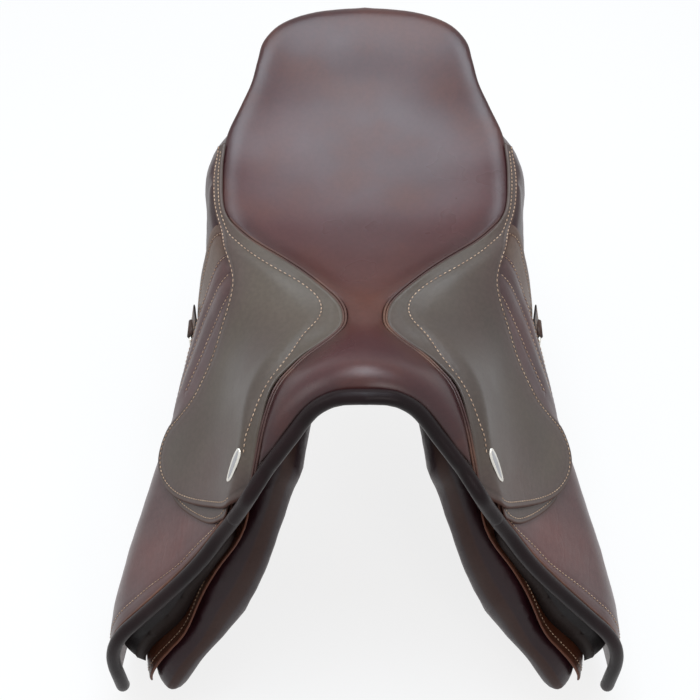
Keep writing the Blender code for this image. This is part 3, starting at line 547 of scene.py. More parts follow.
def edge_drop(x, y, rim):
    """How far the seat falls towards its rim: little at the waist, more where it is puffed."""
    puffed = (1 - ease(y, *POMMEL_PUFF_Y)) * ease(seam_x(y) - abs(x), *POMMEL_PUFF_IN)
    rolled = ease(y, *CANTLE_ROLL_Y)
    fall = (SEAT_EDGE_DROP + (POMMEL_EDGE_DROP - SEAT_EDGE_DROP) * puffed
            + (CANTLE_EDGE_DROP - SEAT_EDGE_DROP) * rolled)
    radius = (SEAT_EDGE_RADIUS + (POMMEL_EDGE_RADIUS - SEAT_EDGE_RADIUS) * puffed
              + (CANTLE_EDGE_RADIUS - SEAT_EDGE_RADIUS) * rolled)
    return fall * (1 - crown(rim, radius, 0.0))


def seat_outline(gap):
    """The outline of the seat, this far from the arch roll and the piping, and over it behind."""
    front = inset_line(ARCH[:ARCH_BY_SEAT], ROLL_RADIUS + gap)
    first_y = SEAT_CORNER[1] + SEAT_CORNER_REACH
    back = [p for p in rounded(SEAM_LINE, 5, closed=False) if p[1] > first_y]
    beside = inset_line(back, WELT_RADIUS + gap)
    over = inset_line(back, WELT_RADIUS + gap - CANTLE_OVERHANG)
    side = [tuple(Vector(a).lerp(Vector(b), ease(p[1], *CANTLE_ROLL_Y)))
            for a, b, p in zip(beside, over, back)]
    side[-1] = (0.0, side[-1][1])
    front[0] = (0.0, front[0][1])
    right = front + [SEAT_CORNER] + side
    return [tuple(p[:2]) for p in right] + [(-x, y) for x, y in reversed(right) if x > 0.01]


def foam_point(x, y, upper, rim, row):
    """A point of the foam, between the webs and the seat cover."""
    bottom = tree_z(x, y) + FOAM_CLEARANCE
    top = seat_z(x, y) - edge_drop(x, y, rim + FOAM_EDGE) - FOAM_UNDER_COVER
    return (x, y, max(top, bottom + FOAM_LEAST) if upper else bottom)


foam, tree, shader = finish_on("seat_foam")
place = place_on(tree)
cells = node(tree, "ShaderNodeTexVoronoi", {"Vector": place, "Scale": 700.0}).outputs["Distance"]
tint = clouds(tree, place, 25.0, 3.0)
color = between(tree, tint, (0.72, 0.66, 0.52, 1), (0.80, 0.76, 0.64, 1))
textured(tree, shader, color, cells, (0, 1, 0.95, 0.85), 0.2)
outline = seat_outline(FOAM_GAP)
bm = lay(cut_pattern(outline, 10, (3.0, 9.0)), outline, foam_point)
dress("seat_padding", mesh_of(bm, foam), "saddle", ["seat_foam"])


# Seat cover: one piece of smooth hide, blocked over the foam and puffed at the pommel. It is
# sewn to the skirts through the piping, and the dye has rubbed to a red brown at the waist.
ROW_REACH = 3.6
COVER_THICKNESS = 2.0
COVER_GAP = -0.8
COVER_RUCK = (0.012, 0.8)
COVER_RUCK_IN = (6, 30)
WAIST_Y = -70
WAIST_REACH = 62
WAIST_HALF = 90
WAIST_FADE = 0.4


def hide_group():
    """The surface of a dyed hide: grain, creases, rubbed colour, cut edges and stitched rows, with painted
    shade in the creases and in the stitch grooves.
    """
    group = bpy.data.node_groups.new("hide_surface", "ShaderNodeTree")
    for name in ("Color", "Deep Color", "Rubbed Color", "Rim Color", "Edge Color"):
        group.interface.new_socket(name, in_out="INPUT", socket_type="NodeSocketColor")
    for name in ("Grain Size", "Grain Depth", "Crease Depth", "Rubbing", "Base Roughness", "Rim",
                 "Row", "Near", "Worn", "Rim Reach", "Edge Row", "Edge Width"):
        group.interface.new_socket(name, in_out="INPUT", socket_type="NodeSocketFloat")
    group.interface.new_socket("Color", in_out="OUTPUT", socket_type="NodeSocketColor")
    for name in ("Roughness", "Height"):
        group.interface.new_socket(name, in_out="OUTPUT", socket_type="NodeSocketFloat")
    given = node(group, "NodeGroupInput").outputs
    place = place_on(group)
    mix, ramp, calc, cloud = (functools.partial(made, group)
                              for made in (between, spread, sums, clouds))

    def times(*values):
        return functools.reduce(lambda one, two: calc("MULTIPLY", one, two), values)

    broad = cloud(place, 7.0, 2.0, 0.4)
    patch = cloud(place, 17.0, 3.0, 0.45)
    fine = cloud(place, 230.0, 3.0)
    wrinkle = cloud(place_on(group, (1.0, 0.2, 0.3)), 240.0, 2.0, 0.4)
    fold = ramp(cloud(place_on(group, (1.3, 0.4, 0.6)), 24.0, 5.0), 0.475, 0.525)
    crease = times(fold, calc("SUBTRACT", 1.0, fold), 4.0, calc("ADD", given["Worn"], 0.15))
    cells = node(group, "ShaderNodeTexVoronoi", {"Vector": place, "Scale": given["Grain Size"],
                 "Randomness": 0.9}, feature="DISTANCE_TO_EDGE").outputs[0]
    pebble = ramp(cells, 0.0, 0.22)

    cut = calc("DIVIDE", given["Rim"], given["Edge Width"])
    edge = ramp(cut, 0.4, 1.7, 1.0, 0.0)
    inner = calc("DIVIDE", given["Rim"], given["Rim Reach"])
    row_gap = calc("MAXIMUM", calc("ABSOLUTE", given["Row"]),
                   calc("SUBTRACT", given["Near"], ROW_REACH))
    edge_gap = calc("ABSOLUTE", calc("SUBTRACT", given["Rim"], given["Edge Row"]))
    seam_gap = calc("MINIMUM", row_gap, edge_gap)
    groove = ramp(seam_gap, 0.2, 1.9, 1.0, 0.0)
    puff = ramp(seam_gap, 1.0, 6.0, 0.0, 1.0)

    color = mix(ramp(broad, 0.3, 0.7), given["Color"], given["Deep Color"])
    color = mix(ramp(inner, 0.05, 1.0, 0.85, 0.0), color, given["Rim Color"])
    rub = calc("MAXIMUM", times(ramp(patch, 0.4, 0.75), given["Rubbing"]),
               times(given["Worn"], ramp(patch, 0.25, 0.75, 0.45, 1.0)))
    color = mix(rub, color, given["Rubbed Color"])
    # Painted shade: the colour darkens towards the deep colour in the sunk groove along each stitched row.
    color = mix(times(groove, 0.5), color, given["Deep Color"])
    # Painted shade: creases darken to the deep colour. Where the hide is worn they take the rubbed colour
    # instead, which is real wear.
    crease_shade_and_wear = mix(given["Worn"], given["Deep Color"], given["Rubbed Color"])
    color = mix(times(crease, given["Crease Depth"], 3.0), color, crease_shade_and_wear)
    color = mix(edge, color, given["Edge Color"])
    tone = ramp(fine, 0.3, 0.7, 0.92, 1.06)
    tone = node(group, "ShaderNodeCombineColor", {0: tone, 1: tone, 2: tone}).outputs[0]
    color = mix(1.0, color, tone, "MULTIPLY")

    rough = calc("ADD", given["Base Roughness"], ramp(patch, 0.3, 0.7, -0.03, 0.06))
    rough = calc("ADD", rough, times(edge, 0.22))
    height = times(calc("ADD", pebble, times(fine, 0.8)), given["Grain Depth"])
    height = calc("SUBTRACT", height, times(crease, given["Crease Depth"]))
    height = calc("SUBTRACT", height, times(wrinkle, given["Worn"], given["Crease Depth"], 3.5))
    height = calc("ADD", height, times(puff, 0.35))
    height = calc("SUBTRACT", height, times(groove, 0.3))
    node(group, "NodeGroupOutput", {"Color": color, "Roughness": rough, "Height": height})
    return group


hide_surface = hide_group()


def linear(color):
    """A colour as a render shows it, from 0 to 1, turned to the light that it gives."""
    return (*[v / 12.92 if v <= 0.04045 else ((v + 0.055) / 1.055) ** 2.4 for v in color], 1.0)


def hide(name, color, deep, rubbed, rim, edge, rough=0.4, grain=(900.0, 0.03), crease=0.03,
         rubbing=0.4, edge_row=-20.0, rim_reach=20.0, edge_width=1.0, shine=0.3):
    """A hide of one finish.

    Colours are as a render shows them. grain is how fine its pebble is, and how deep in
    millimetres. rubbing is how much of it has rubbed to the rubbed colour. edge_row is how
    far in the row along its rim is stitched, and rim_reach how far the rim's colour spreads.
    """
    material, tree, shader = finish_on(name)
    inputs = {"Color": linear(color), "Deep Color": linear(deep), "Rubbed Color": linear(rubbed),
              "Rim Color": linear(rim), "Edge Color": linear(edge), "Grain Size": grain[0],
              "Grain Depth": grain[1], "Crease Depth": crease, "Rubbing": rubbing,
              "Base Roughness": rough, "Edge Row": edge_row, "Rim Reach": rim_reach,
              "Edge Width": edge_width}
    for key in ("Rim", "Row", "Near", "Worn"):
        inputs[key] = node(tree, "ShaderNodeAttribute", attribute_name=key.lower()).outputs["Fac"]
    made = node(tree, "ShaderNodeGroup", inputs, node_tree=hide_surface).outputs
    surface_of(tree, shader, made["Color"], made["Roughness"], made["Height"])
    shader.inputs["Specular IOR Level"].default_value = shine
    return material


def swell(place, scale, size):
    """A soft unevenness, in millimetres."""
    return noise.noise(Vector(place) * scale) * size


seat_hide = hide("seat_hide", (0.305, 0.17, 0.175), (0.25, 0.13, 0.14), (0.345, 0.185, 0.14),
                 (0.21, 0.105, 0.115), (0.19, 0.11, 0.10), rough=0.3, grain=(1150.0, 0.016),
                 crease=0.008, rubbing=0.45, rim_reach=26.0, shine=0.4)
outline = seat_outline(COVER_GAP)


def seat_point(x, y, upper, rim, row):
    """A point of the cover, a little uneven away from its rim."""
    soft = swell((x, y, 0), *COVER_RUCK) * ease(rim, *COVER_RUCK_IN)
    return (x, y, seat_z(x, y) - edge_drop(x, y, rim) + soft - (0 if upper else COVER_THICKNESS))


def seat_wear(x, y):
    """The waist and the neck of the seat, where the rider's legs rub it."""
    across = 1 - WAIST_FADE * min(abs(x) / WAIST_HALF, 1)
    return math.exp(-((y - WAIST_Y) / WAIST_REACH) ** 2) * across


bm = lay(cut_pattern(outline, 5, (0.3, 1.0, 2.4, 4.4)), outline, seat_point, worn=seat_wear)
dress("seat_hide", mesh_of(bm, seat_hide), "saddle", ["seat_cover"])


# Piping: two thin cords covered in hide side by side, sewn into the seam between the seat
# and the skirts from the arch to the middle of the cantle.
PIPING_RADIUS = 1.2
PIPING_SUNK = 1.5
PIPING_TUCK = 7.0
PIPING_STEP = 0.3
PIPING_FIRST_Y = -244
TUBE_END = 0.08


def tube(points, radius, sides=10, closed=False, ends=0.6, slim=None):
    """A round tube along 3D points in millimetres, as a bmesh whose ends are this narrow.

    slim(part, point) is how much of its radius it has there, where that isn't all of it.
    """
    path = [Vector(p) for p in points]
    if not closed:
        path.insert(1, path[0].lerp(path[1], TUBE_END))
        path.insert(-1, path[-1].lerp(path[-2], TUBE_END))
    bm = bmesh.new()
    rings = []
    last = len(path) - 1
    up = Vector((0, 0, 1))
    for i, here in enumerate(path):
        before = path[(i - 1) % len(path)] if closed else path[max(i - 1, 0)]
        after = path[(i + 1) % len(path)] if closed else path[min(i + 1, last)]
        along = (after - before).normalized()
        up = (up - along * up.dot(along)).normalized()
        across = along.cross(up)
        size = radius if closed or 0 < i < last else radius * ends
        if slim:
            size *= slim(i / last, here)
        rings.append([bm.verts.new((here + (up * math.cos(a) + across * math.sin(a)) * size) * MM)
                      for a in (k * math.tau / sides for k in range(sides))])
    pairs = list(zip(rings, rings[1:])) + ([(rings[-1], rings[0])] if closed else [])
    for one, two in pairs:
        for k in range(sides):
            bm.faces.new((one[k], one[(k + 1) % sides], two[(k + 1) % sides], two[k]))
    if not closed:
        bm.faces.new(rings[0][::-1])
        bm.faces.new(rings[-1])
    bmesh.ops.recalc_face_normals(bm, faces=bm.faces[:])
    mark(bm)
    return bm


def mark(bm, rim=30.0, row=NO_ROW):
    """Gives a bmesh that has no rim of its own the attributes that the hides read."""
    for name, value in (("rim", rim), ("row", row), ("near", row), ("worn", 0.0)):
        layer = bm.verts.layers.float.get(name) or bm.verts.layers.float.new(name)
        for vert in bm.verts:
            vert[layer] = value


def smooth_path(points, steps=4):
    """A 3D path made finer."""
    return [Vector(p) for p in rounded([tuple(p) for p in points], steps, closed=False)]


def joined(*parts):
    """Several bmeshes as one, each with its material number."""
    whole = bmesh.new()
    mark(whole)
    for part, number in parts:
        for face in part.faces:
            face.material_index = number
        mesh = bpy.data.meshes.new("part")
        part.to_mesh(mesh)
        part.free()
        whole.from_mesh(mesh)
        bpy.data.meshes.remove(mesh)
    return whole


piping_hide = hide("piping_hide", (0.32, 0.22, 0.205), (0.24, 0.155, 0.15), (0.44, 0.31, 0.25),
                   (0.3, 0.2, 0.18), (0.2, 0.12, 0.1), rough=0.34, grain=(1500.0, 0.02),
                   crease=0.01, rubbing=0.9)
line = smooth_path([p for p in SEAM if p[1] > PIPING_FIRST_Y])
cords = []
for sign in (1, -1):
    flat = inset_line([(p.x, p.y) for p in line], PIPING_RADIUS * sign)
    path = [(x, y, p.z - PIPING_SUNK - PIPING_TUCK * ease(y, *CANTLE_ROLL_Y) + PIPING_STEP * sign)
            for (x, y), p in zip(flat, line)]
    path[-1] = (0.05, path[-1][1], path[-1][2])
    cords.append((tube(path, PIPING_RADIUS), 0))
dress_pair("seat_piping", mesh_of(joined(*cords), piping_hide), "saddle", ["welt"])


# Arch roll: a cord covered in hide round the front of the gullet. It runs on down the front
# of each flap as the flap's front roll, which hooks in under the flap's lower corner.
FLAP_FRONT = ((-251, 40), (-253, 62), (-257.5, 106), (-268, 142), (-278, 182), (-289, 232),
              (-299, 276), (-305, 312), (-306, 334))
ROLL_HOOK = ((-304, 348), (-296, 356))
ROLL_START = ((-251, 44), (-253, 62), (-254.4, 83))
ROLL_UNDER_ARCH = ((-253.5, 70), (-254.3, 81))
ROLL_FREE_U = 88
ROLL_EASE = 0.15
ROLL_TAPER_AT = (0.88, 1.0)
ROLL_SEAM_U = (92, 346)
ROUND_ENDS = 0.98
HINGE_FRONT = (-250, 84, 97)
HINGE_BACK = (25, 56, 163)
BEND_REACH = 9.0
ROLL_SEAM_FROM_MIDDLE = 8.4
ROLL_SEAM_LAYER = 2.0
ROLL_SEAM_RADIUS = 1.7
ROLL_TUCK = 3.0
ARCH_SLIM = 0.27
ARCH_SLIM_X = (14.0, 66.0)
ARCH_FACING_SUNK = 0.15
ROLL_TUCK_U = (290.0, 345.0)
ROLL_TAPER = 0.42
roll_hide = hide("roll_hide", (0.105, 0.055, 0.065), (0.075, 0.04, 0.05), (0.18, 0.115, 0.12),
                 (0.11, 0.07, 0.075), (0.2, 0.12, 0.1), rough=0.34, grain=(1300.0, 0.025),
                 crease=0.05, rubbing=0.35, shine=0.14)


def slimmed(point):
    """The share of its radius that the roll loses at this point of the arch."""
    return ARCH_SLIM * (1 - ease(abs(point.x), *ARCH_SLIM_X))


path = [Vector(p) for p in rounded(ARCH_LINE, 2, closed=False)[:-1]]
path = smooth_path(path + [on_side(y, u) for y, u in ROLL_START], 4)
arch = [Vector((-p.x, p.y, p.z)) for p in reversed(path[1:])] + path
facing = tube(arch, ROLL_RADIUS - ARCH_FACING_SUNK, 20, ends=ROUND_ENDS)
for p in arch:
    p.z += ROLL_RADIUS * slimmed(p)
cord = tube(arch, ROLL_RADIUS, 20, ends=ROUND_ENDS, slim=lambda part, p: 1 - slimmed(p))
dress("arch_roll_hide", mesh_of(joined((cord, 0), (facing, 0)), roll_hide),
      "saddle", ["arch_roll"])

hinge_at = from_pattern(*HINGE_FRONT)
hinge_end = from_pattern(*HINGE_BACK)
across_hinge = Vector((HINGE_FRONT[1] - HINGE_BACK[1], HINGE_BACK[0] - HINGE_FRONT[0])).normalized()
down_pattern = Vector((across_hinge.y / ROOT2, across_hinge.x, -across_hinge.y / ROOT2))
hinge_middle = (hinge_at + hinge_end) / 2
bend_start = (hinge_middle - down_pattern * BEND_REACH) * MM
bend_end = (hinge_middle + down_pattern * BEND_REACH) * MM
flap_bend = ("saddle", "flap_body_SIDE", (hinge_middle - down_pattern * 2 * BEND_REACH) * MM,
             hinge_middle * MM)
skirt_bend = ("flap_body_SIDE", "skirt_body_SIDE", hinge_middle * MM,
              (hinge_middle + down_pattern * 2 * BEND_REACH) * MM)

roll_line = rounded(FLAP_FRONT + ROLL_HOOK, 3, closed=False)
path = [on_side(y, u) for y, u in ROLL_UNDER_ARCH]
path += [on_side(y, u, -ROLL_TUCK * ease(u, *ROLL_TUCK_U)) for y, u in roll_line if u > ROLL_FREE_U]
seam = [on_side(y, u, ROLL_SEAM_LAYER) for y, u in inset_line(roll_line, -ROLL_SEAM_FROM_MIDDLE)
        if ROLL_SEAM_U[0] < u < ROLL_SEAM_U[1]]
raw_edge = hide("raw_edge", (0.34, 0.205, 0.16), (0.24, 0.145, 0.12), (0.45, 0.30, 0.24),
                (0.3, 0.2, 0.15), (0.3, 0.2, 0.15), rough=0.5, grain=(1500.0, 0.05), rubbing=0.9)
roll = tube(smooth_path(path, 2), ROLL_RADIUS - ROLL_EASE, 20,
            slim=lambda part, p: 1 - ROLL_TAPER * ease(part, *ROLL_TAPER_AT))
bm = joined((roll, 0), (tube(seam, ROLL_SEAM_RADIUS), 1))
dress_pair("flap_roll_hide", mesh_of(bm, roll_hide, raw_edge), "flap_body_SIDE",
           ["flap_roll"], bend=("saddle", "flap_body_SIDE", bend_start, bend_end))


# Sweat flaps: firm tan leather next to the horse, stitched round the edge, under the flap.
# The knee block spreads each one from its flap towards the front.
SWEAT_EDGE = ((-238, 92), (-258, 165), (-281, 222), (-297, 270), (-304, 308), (-297, 328),
              (-262, 338), (-205, 322), (-140, 284), (-80, 232), (-20, 185), (12, 168), (25, 150),
              (29, 125), (31, 95), (34, 66), (31, 44), (6, 42), (-60, 66), (-150, 76))
SWEAT_FLAP_THICKNESS = 2.6
SWEAT_LAYER = -14.3
SWEAT_LAYER_BACK = -3.0
BLOCK_SPREAD = 0.175
BLOCK_START_U = 50.0
BLOCK_TAPER_U = (262.0, 335.0)
BLOCK_TAPER = 32.0
BLOCK_BOW_U = 243.0
BLOCK_BOW_REACH = 34.0
BLOCK_BOW = 8.0
BLOCK_SIDE_Y = (-215, -120)
SWEAT_BACK_Y = (-40, 40)
SWEAT_WORN_Y = (-120, -20)
SWEAT_ROW_PLACES = 17
EDGE_ROW = 5.0
SWEAT_ROW = 8.0
SWEAT_STITCH_LIFT = 1.35
STITCH_PITCH = 4.6
STITCH_SIZE = (1.6, 0.6, 0.5)


def sweat_layer(y, u):
    """Where the sweat flap lies: under the billets, and spread from the flap by the knee block."""
    base = SWEAT_LAYER + (SWEAT_LAYER_BACK - SWEAT_LAYER) * ease(y, *SWEAT_BACK_Y)
    spread_out = BLOCK_SPREAD * max(u - BLOCK_START_U, 0.0) - BLOCK_TAPER * ease(u, *BLOCK_TAPER_U)
    spread_out += BLOCK_BOW * math.exp(-((u - BLOCK_BOW_U) / BLOCK_BOW_REACH) ** 2)
    return base - (1 - ease(y, *BLOCK_SIDE_Y)) * spread_out


def rim_half(rim, thickness):
    """Half the thickness of a leather this far from its rounded edge."""
    return thickness / 2 * crown(rim, thickness / 2, 0.3)


def inward(line, outline, distance):
    """A line along part of an outline, moved into it."""
    area = sum(a[0] * b[1] - a[1] * b[0] for a, b in zip(outline, outline[1:] + outline[:1]))
    return inset_line(line, math.copysign(distance, area))


def leather_swell(y, u, thickness, ruck):
    """How uneven a leather lies, each thickness in its own way."""
    return swell((y, u, thickness * 9), 0.035, ruck)


def leather(outline, thickness, layer, step=8, rows=(), ruck=0.25, worn=None, free=None,
            ring=EDGE_ROW):
    """A leather of one thickness that lies on the side form at its layer(y, u)."""
    def point_at(y, u, upper, rim, row):
        uneven = leather_swell(y, u, thickness, ruck)
        half = rim_half(rim, thickness)
        return on_side(y, u, layer(y, u) + uneven + (half if upper else -half))
    rings = (thickness * 0.15, thickness * 0.5, ring)
    return lay(cut_pattern(outline, step, rings), outline, point_at, rows, worn, free)


def evenly(points, pitch):
    """Places along a line of 2D or 3D points at one pitch."""
    points = [Vector(p) for p in points]
    left, result = pitch / 2, []
    for one, two in zip(points, points[1:]):
        length = (two - one).length
        while left < length:
            result.append((one.lerp(two, left / length), (two - one).normalized()))
            left += pitch
        left -= length
    return result


def stitch(bm, at, along, out):
    """One stitch of waxed thread, half sunk in the leather."""
    out = (out - along * out.dot(along)).normalized()
    turn = Matrix((along * STITCH_SIZE[0], along.cross(out) * STITCH_SIZE[1], out * STITCH_SIZE[2]))
    turn = Matrix.Translation(at) @ turn.transposed().to_4x4()
    turn = Matrix.Scale(MM, 4) @ turn @ Matrix.Rotation(math.pi / 2, 4, "Y")
    bmesh.ops.create_uvsphere(bm, u_segments=6, v_segments=4, radius=1.0, matrix=turn)


def stitched(rows, surface_at, pitch=STITCH_PITCH):
    """Rows of stitches on a surface given by surface_at(a, b), in millimetres."""
    bm = bmesh.new()
    for row in rows:
        for place, way in evenly([(p[0], p[1]) for p in row], pitch):
            a, b = place
            here = surface_at(a, b)
            one, two = surface_at(a + 1.0, b), surface_at(a, b + 1.0)
            out = (two - here).cross(one - here).normalized()
            along = surface_at(a + way.x, b + way.y) - here
            if out.z + out.x < 0:
                out = -out
            stitch(bm, here, along.normalized(), out)
    bmesh.ops.recalc_face_normals(bm, faces=bm.faces[:])
    mark(bm)
    return bm


def thread(name, light, dark):
    """Waxed linen thread."""
    material, tree, shader = finish_on(name)
    place = place_on(tree)
    twist = ridges(tree, place, 420.0, 2.0, "DIAGONAL")
    color = between(tree, spread(tree, clouds(tree, place, 60.0, 3.0), 0.35, 0.7), light, dark)
    textured(tree, shader, color, twist, (0, 1, 0.7, 0.5), 0.08)
    return material


cream_thread = thread("cream_thread", (0.60, 0.42, 0.29, 1), (0.38, 0.24, 0.16, 1))
tan_hide = hide("sweat_flap_hide", (0.37, 0.205, 0.13), (0.29, 0.155, 0.10), (0.455, 0.385, 0.345),
                (0.30, 0.165, 0.11), (0.36, 0.2, 0.13), rough=0.38, grain=(1000.0, 0.025),
                crease=0.02, rubbing=0.2, edge_row=SWEAT_ROW, rim_reach=14.0)
outline = rounded(SWEAT_EDGE, 6)
bm = leather(outline, SWEAT_FLAP_THICKNESS, sweat_layer, 10,
             worn=lambda y, u: ease(y, *SWEAT_WORN_Y))
rows = [inward(rounded(SWEAT_EDGE[:SWEAT_ROW_PLACES], 6, closed=False), outline, SWEAT_ROW)]
threads = stitched(rows, lambda y, u: on_side(y, u, sweat_layer(y, u) + SWEAT_STITCH_LIFT))
bm = joined((bm, 0), (threads, 1))
dress_pair("sweat_flap_hide", mesh_of(bm, tan_hide, cream_thread), "saddle",
           ["sweat_flap"])


# Knee blocks: moulded foam under near-black hide, fixed between the sweat flap and the front
# of the flap, with their faces to the rider's knee.
BLOCK_INSET = 19.0
BLOCK_WIDTH = 60.0
BLOCK_RADIUS = 24.0
BLOCK_GAP = 1.6
BLOCK_FRONT_U = (118, 160, 210, 260, 310)
BLOCK_BACK_U = (296, 250, 200, 150)
BLOCK_LOW_U = 326
BLOCK_LOW_IN = 12
FLAP_THICKNESS = 3.2
block_hide = hide("block_hide", (0.095, 0.07, 0.075), (0.065, 0.045, 0.05), (0.14, 0.105, 0.11),
                  (0.08, 0.055, 0.06), (0.12, 0.08, 0.07), rough=0.42, grain=(1000.0, 0.05),
                  shine=0.2)
front = fair([(u, y) for y, u in FLAP_FRONT])
block_edge = [(front(u) + BLOCK_INSET, u) for u in BLOCK_FRONT_U]
block_edge += [(front(BLOCK_LOW_U) + BLOCK_INSET + BLOCK_LOW_IN, BLOCK_LOW_U)]
block_edge += [(front(u) + BLOCK_INSET + BLOCK_WIDTH, u) for u in BLOCK_BACK_U]
outline = rounded(block_edge, 6)


def block_point(y, u, upper, rim, row):
    """A point of the block, which fills the room between the sweat flap and the flap."""
    top = -FLAP_THICKNESS / 2 - BLOCK_GAP
    bottom = sweat_layer(y, u) + SWEAT_FLAP_THICKNESS / 2 + BLOCK_GAP
    top = bottom + (top - bottom) * crown(rim, BLOCK_RADIUS, 0.3)
    return on_side(y, u, top if upper else bottom)


bm = lay(cut_pattern(outline, 7, (1.5, 4.0, 7.0)), outline, block_point)
dress_pair("knee_block_hide", mesh_of(bm, block_hide), "saddle", ["knee_block"])


# Panels: two soft calf cushions stuffed with wool, joined under the pommel and the cantle
# with the gullet clear between them. They bulge in front of the flaps and behind the seat.
PANEL_EDGE = ((-214, 30), (-222, 62), (-233, 98), (-255, 145), (-278, 205), (-300, 262),
              (-310, 304), (-297, 326), (-262, 324), (-230, 288), (-196, 230), (-140, 176),
              (-60, 160), (10, 146), (70, 128), (130, 120), (185, 108), (228, 84), (254, 50),
              (262, 20), (250, -8), (190, -6), (100, 6), (0, 12), (-93, 8), (-170, 14))
BEARING_U = (-20, 0, 50, 100, 150, 200, 260, 330)
BEARING_SECTIONS = {
    -235: (92, 70, 30, 2, -12, -22, -38, -66),
    -93: (14, 26, 50, 62, 62, 45, 12, -30),
    60: (16, 28, 58, 78, 84, 70, 40, 0),
    150: (24, 38, 66, 86, 96, 90, 70, 40),
    262: (64, 82, 104, 118, 126, 130, 130, 130),
}
TREE_BACK_LINE = ((-184, 112), (-160, 94), (-130, 80), (-93, 76), (-50, 88), (0, 106), (50, 119),
                  (100, 123), (150, 113), (196, 97), (236, 76), (255, 40), (261, 0))
TREE_FRONT_Y = (-200, -184)
PANEL_BACK_Y = (90, 130)
PANEL_BACK_U = (25, 90)
PANEL_BACK_GAP = 4.0
PANEL_UNDER_TREE = 17.0
PANEL_RADIUS = 22.0
PANEL_GAP = 3.6
PANEL_BACK_DEPTH = 18.0
PANEL_RUCK = (0.022, 1.1)
PANEL_RUCK_DOWN = 2.2
PANEL_PAST_TREE = (3, 20)
PANEL_FRONT_RAISED = 13.0
PANEL_FRONT_U = (190, 300)
PANEL_FRONT_Y = (-250, -150)
PANEL_BROWN_Y = (10, 70)
PANEL_LEAST = 12
PANEL_MIDDLE = 0.55
PANEL_EASE = 0.8
panel_hide = hide("panel_hide", (0.25, 0.105, 0.14), (0.19, 0.07, 0.10), (0.30, 0.25, 0.245),
                  (0.115, 0.05, 0.065), (0.2, 0.12, 0.1), rough=0.38, grain=(850.0, 0.03),
                  rubbing=0.0, rim_reach=26.0, shine=0.28)
bearing = surface(BEARING_SECTIONS, BEARING_U)
tree_half = fair(TREE_BACK_LINE)
outline = rounded(PANEL_EDGE, 5)


@functools.lru_cache(maxsize=None)
def panel_top(y, u):
    """Height over the pattern of the panel's upper face: under the tree, else under the side."""
    back = ease(y, *PANEL_BACK_Y)
    open_layer = sweat_layer(y, u) - SWEAT_FLAP_THICKNESS / 2 - PANEL_GAP
    back_layer = PANEL_BACK_DEPTH * (ease(u, *PANEL_BACK_U) - 1) - PANEL_BACK_GAP
    point = on_side(y, u, open_layer + (back_layer - open_layer) * back)
    open_h = (point.x + point.z) / ROOT2
    h = open_h
    for _ in range(4):
        x = (u + h) / ROOT2
        under = min(x, seam_x(y) - 2) if back > 0 else x
        h = min(open_h, ROOT2 * (tree_z(under, max(y, TREE_FRONT_Y[0])) - PANEL_UNDER_TREE) + u)
    half = tree_half(max(y, TREE_FRONT_Y[1]))
    free = ease(x - half, *PANEL_PAST_TREE) * (1 - back)
    return h + (open_h - h) * free


def panel_point(y, u, upper, rim, row):
    """A point of the panel, whose two faces meet at its rim and bulge apart inside it."""
    top = panel_top(y, u)
    raised = PANEL_FRONT_RAISED * ease(u, *PANEL_FRONT_U) * (1 - ease(y, *PANEL_FRONT_Y))
    bottom = min(bearing(y, u) + raised, top - PANEL_LEAST)
    middle = top * PANEL_MIDDLE + bottom * (1 - PANEL_MIDDLE)
    full = crown(rim, PANEL_RADIUS, 0.12)
    ruck = swell((y, u * PANEL_RUCK_DOWN, 40 if upper else 0), *PANEL_RUCK)
    ruck *= 1 if upper else -1
    face = top - PANEL_EASE if upper else bottom + PANEL_EASE
    return from_pattern(y, u, middle + (face - middle) * full + ruck * full)


bm = lay(cut_pattern(outline, 10, (1.5, 4.5, 9.0)), outline, panel_point,
         worn=lambda y, u: ease(y, *PANEL_BROWN_Y))
dress_pair("wool_panel", mesh_of(bm, panel_hide), "saddle", ["panel"])


# Channel lining: a strip of the panels' calf under the tree that closes the gullet between
# them. It is tacked to the tree before the panels are laced in.
LINING_HALF = 26.0
LINING_UNDER_TREE = 19.0
LINING_THICKNESS = 1.4
LINING_FRONT_Y = -186.0
LINING_BACK_Y = 236.0
LINING_TONGUE_Y = 242.0
outline = [(0.0, LINING_FRONT_Y), (LINING_HALF, LINING_FRONT_Y), (LINING_HALF, LINING_BACK_Y),
           (0.0, LINING_TONGUE_Y), (-LINING_HALF, LINING_BACK_Y), (-LINING_HALF, LINING_FRONT_Y)]
bm = lay(cut_pattern(outline, 10, (1.0,)), outline, lambda x, y, upper, rim, row: (
    x, y, tree_z(x, y) - LINING_UNDER_TREE + (LINING_THICKNESS if upper else 0)))
dress("gullet_lining", mesh_of(bm, panel_hide), "saddle", ["channel_lining"])


# Girth straps: three billets a side of waxed harness leather with punched holes, stitched to
# the webs that hang them from the tree. Both lie between the flap and the sweat flap.
BILLET_THICKNESS = 3.0
BILLET_WIDTH = 25.0
BILLET_SPACING = 42.0
BILLET_FIRST_Y = -134.0
BILLET_LAYER = -8.4
BILLET_START_U = 64.0
BILLET_END_U = 286.0
HOLE_SPACING = 25.0
HOLE_COUNT = 5
HOLE_SIZE = 5.0
FIRST_HOLE_UP = 36
HOLE_SQUARE = 8
HOLE_FLAT = 2.0
POINT_LENGTH = 12
POINT_HALF = 5
BILLET_ROW = 3.6
BILLET_STITCH_LIFT = 1.55
BILLET_ROW_ENDS = (2, 16)
WEB_LAYER = -4.8
WEB_LOW_LAYER = -9.2
WEB_STRAP_THICKNESS = 1.4
WEB_WIDTH = 36.0
WEB_START_U = 11.0
WEB_END_U = 86.0
WEB_BEND_U = 34
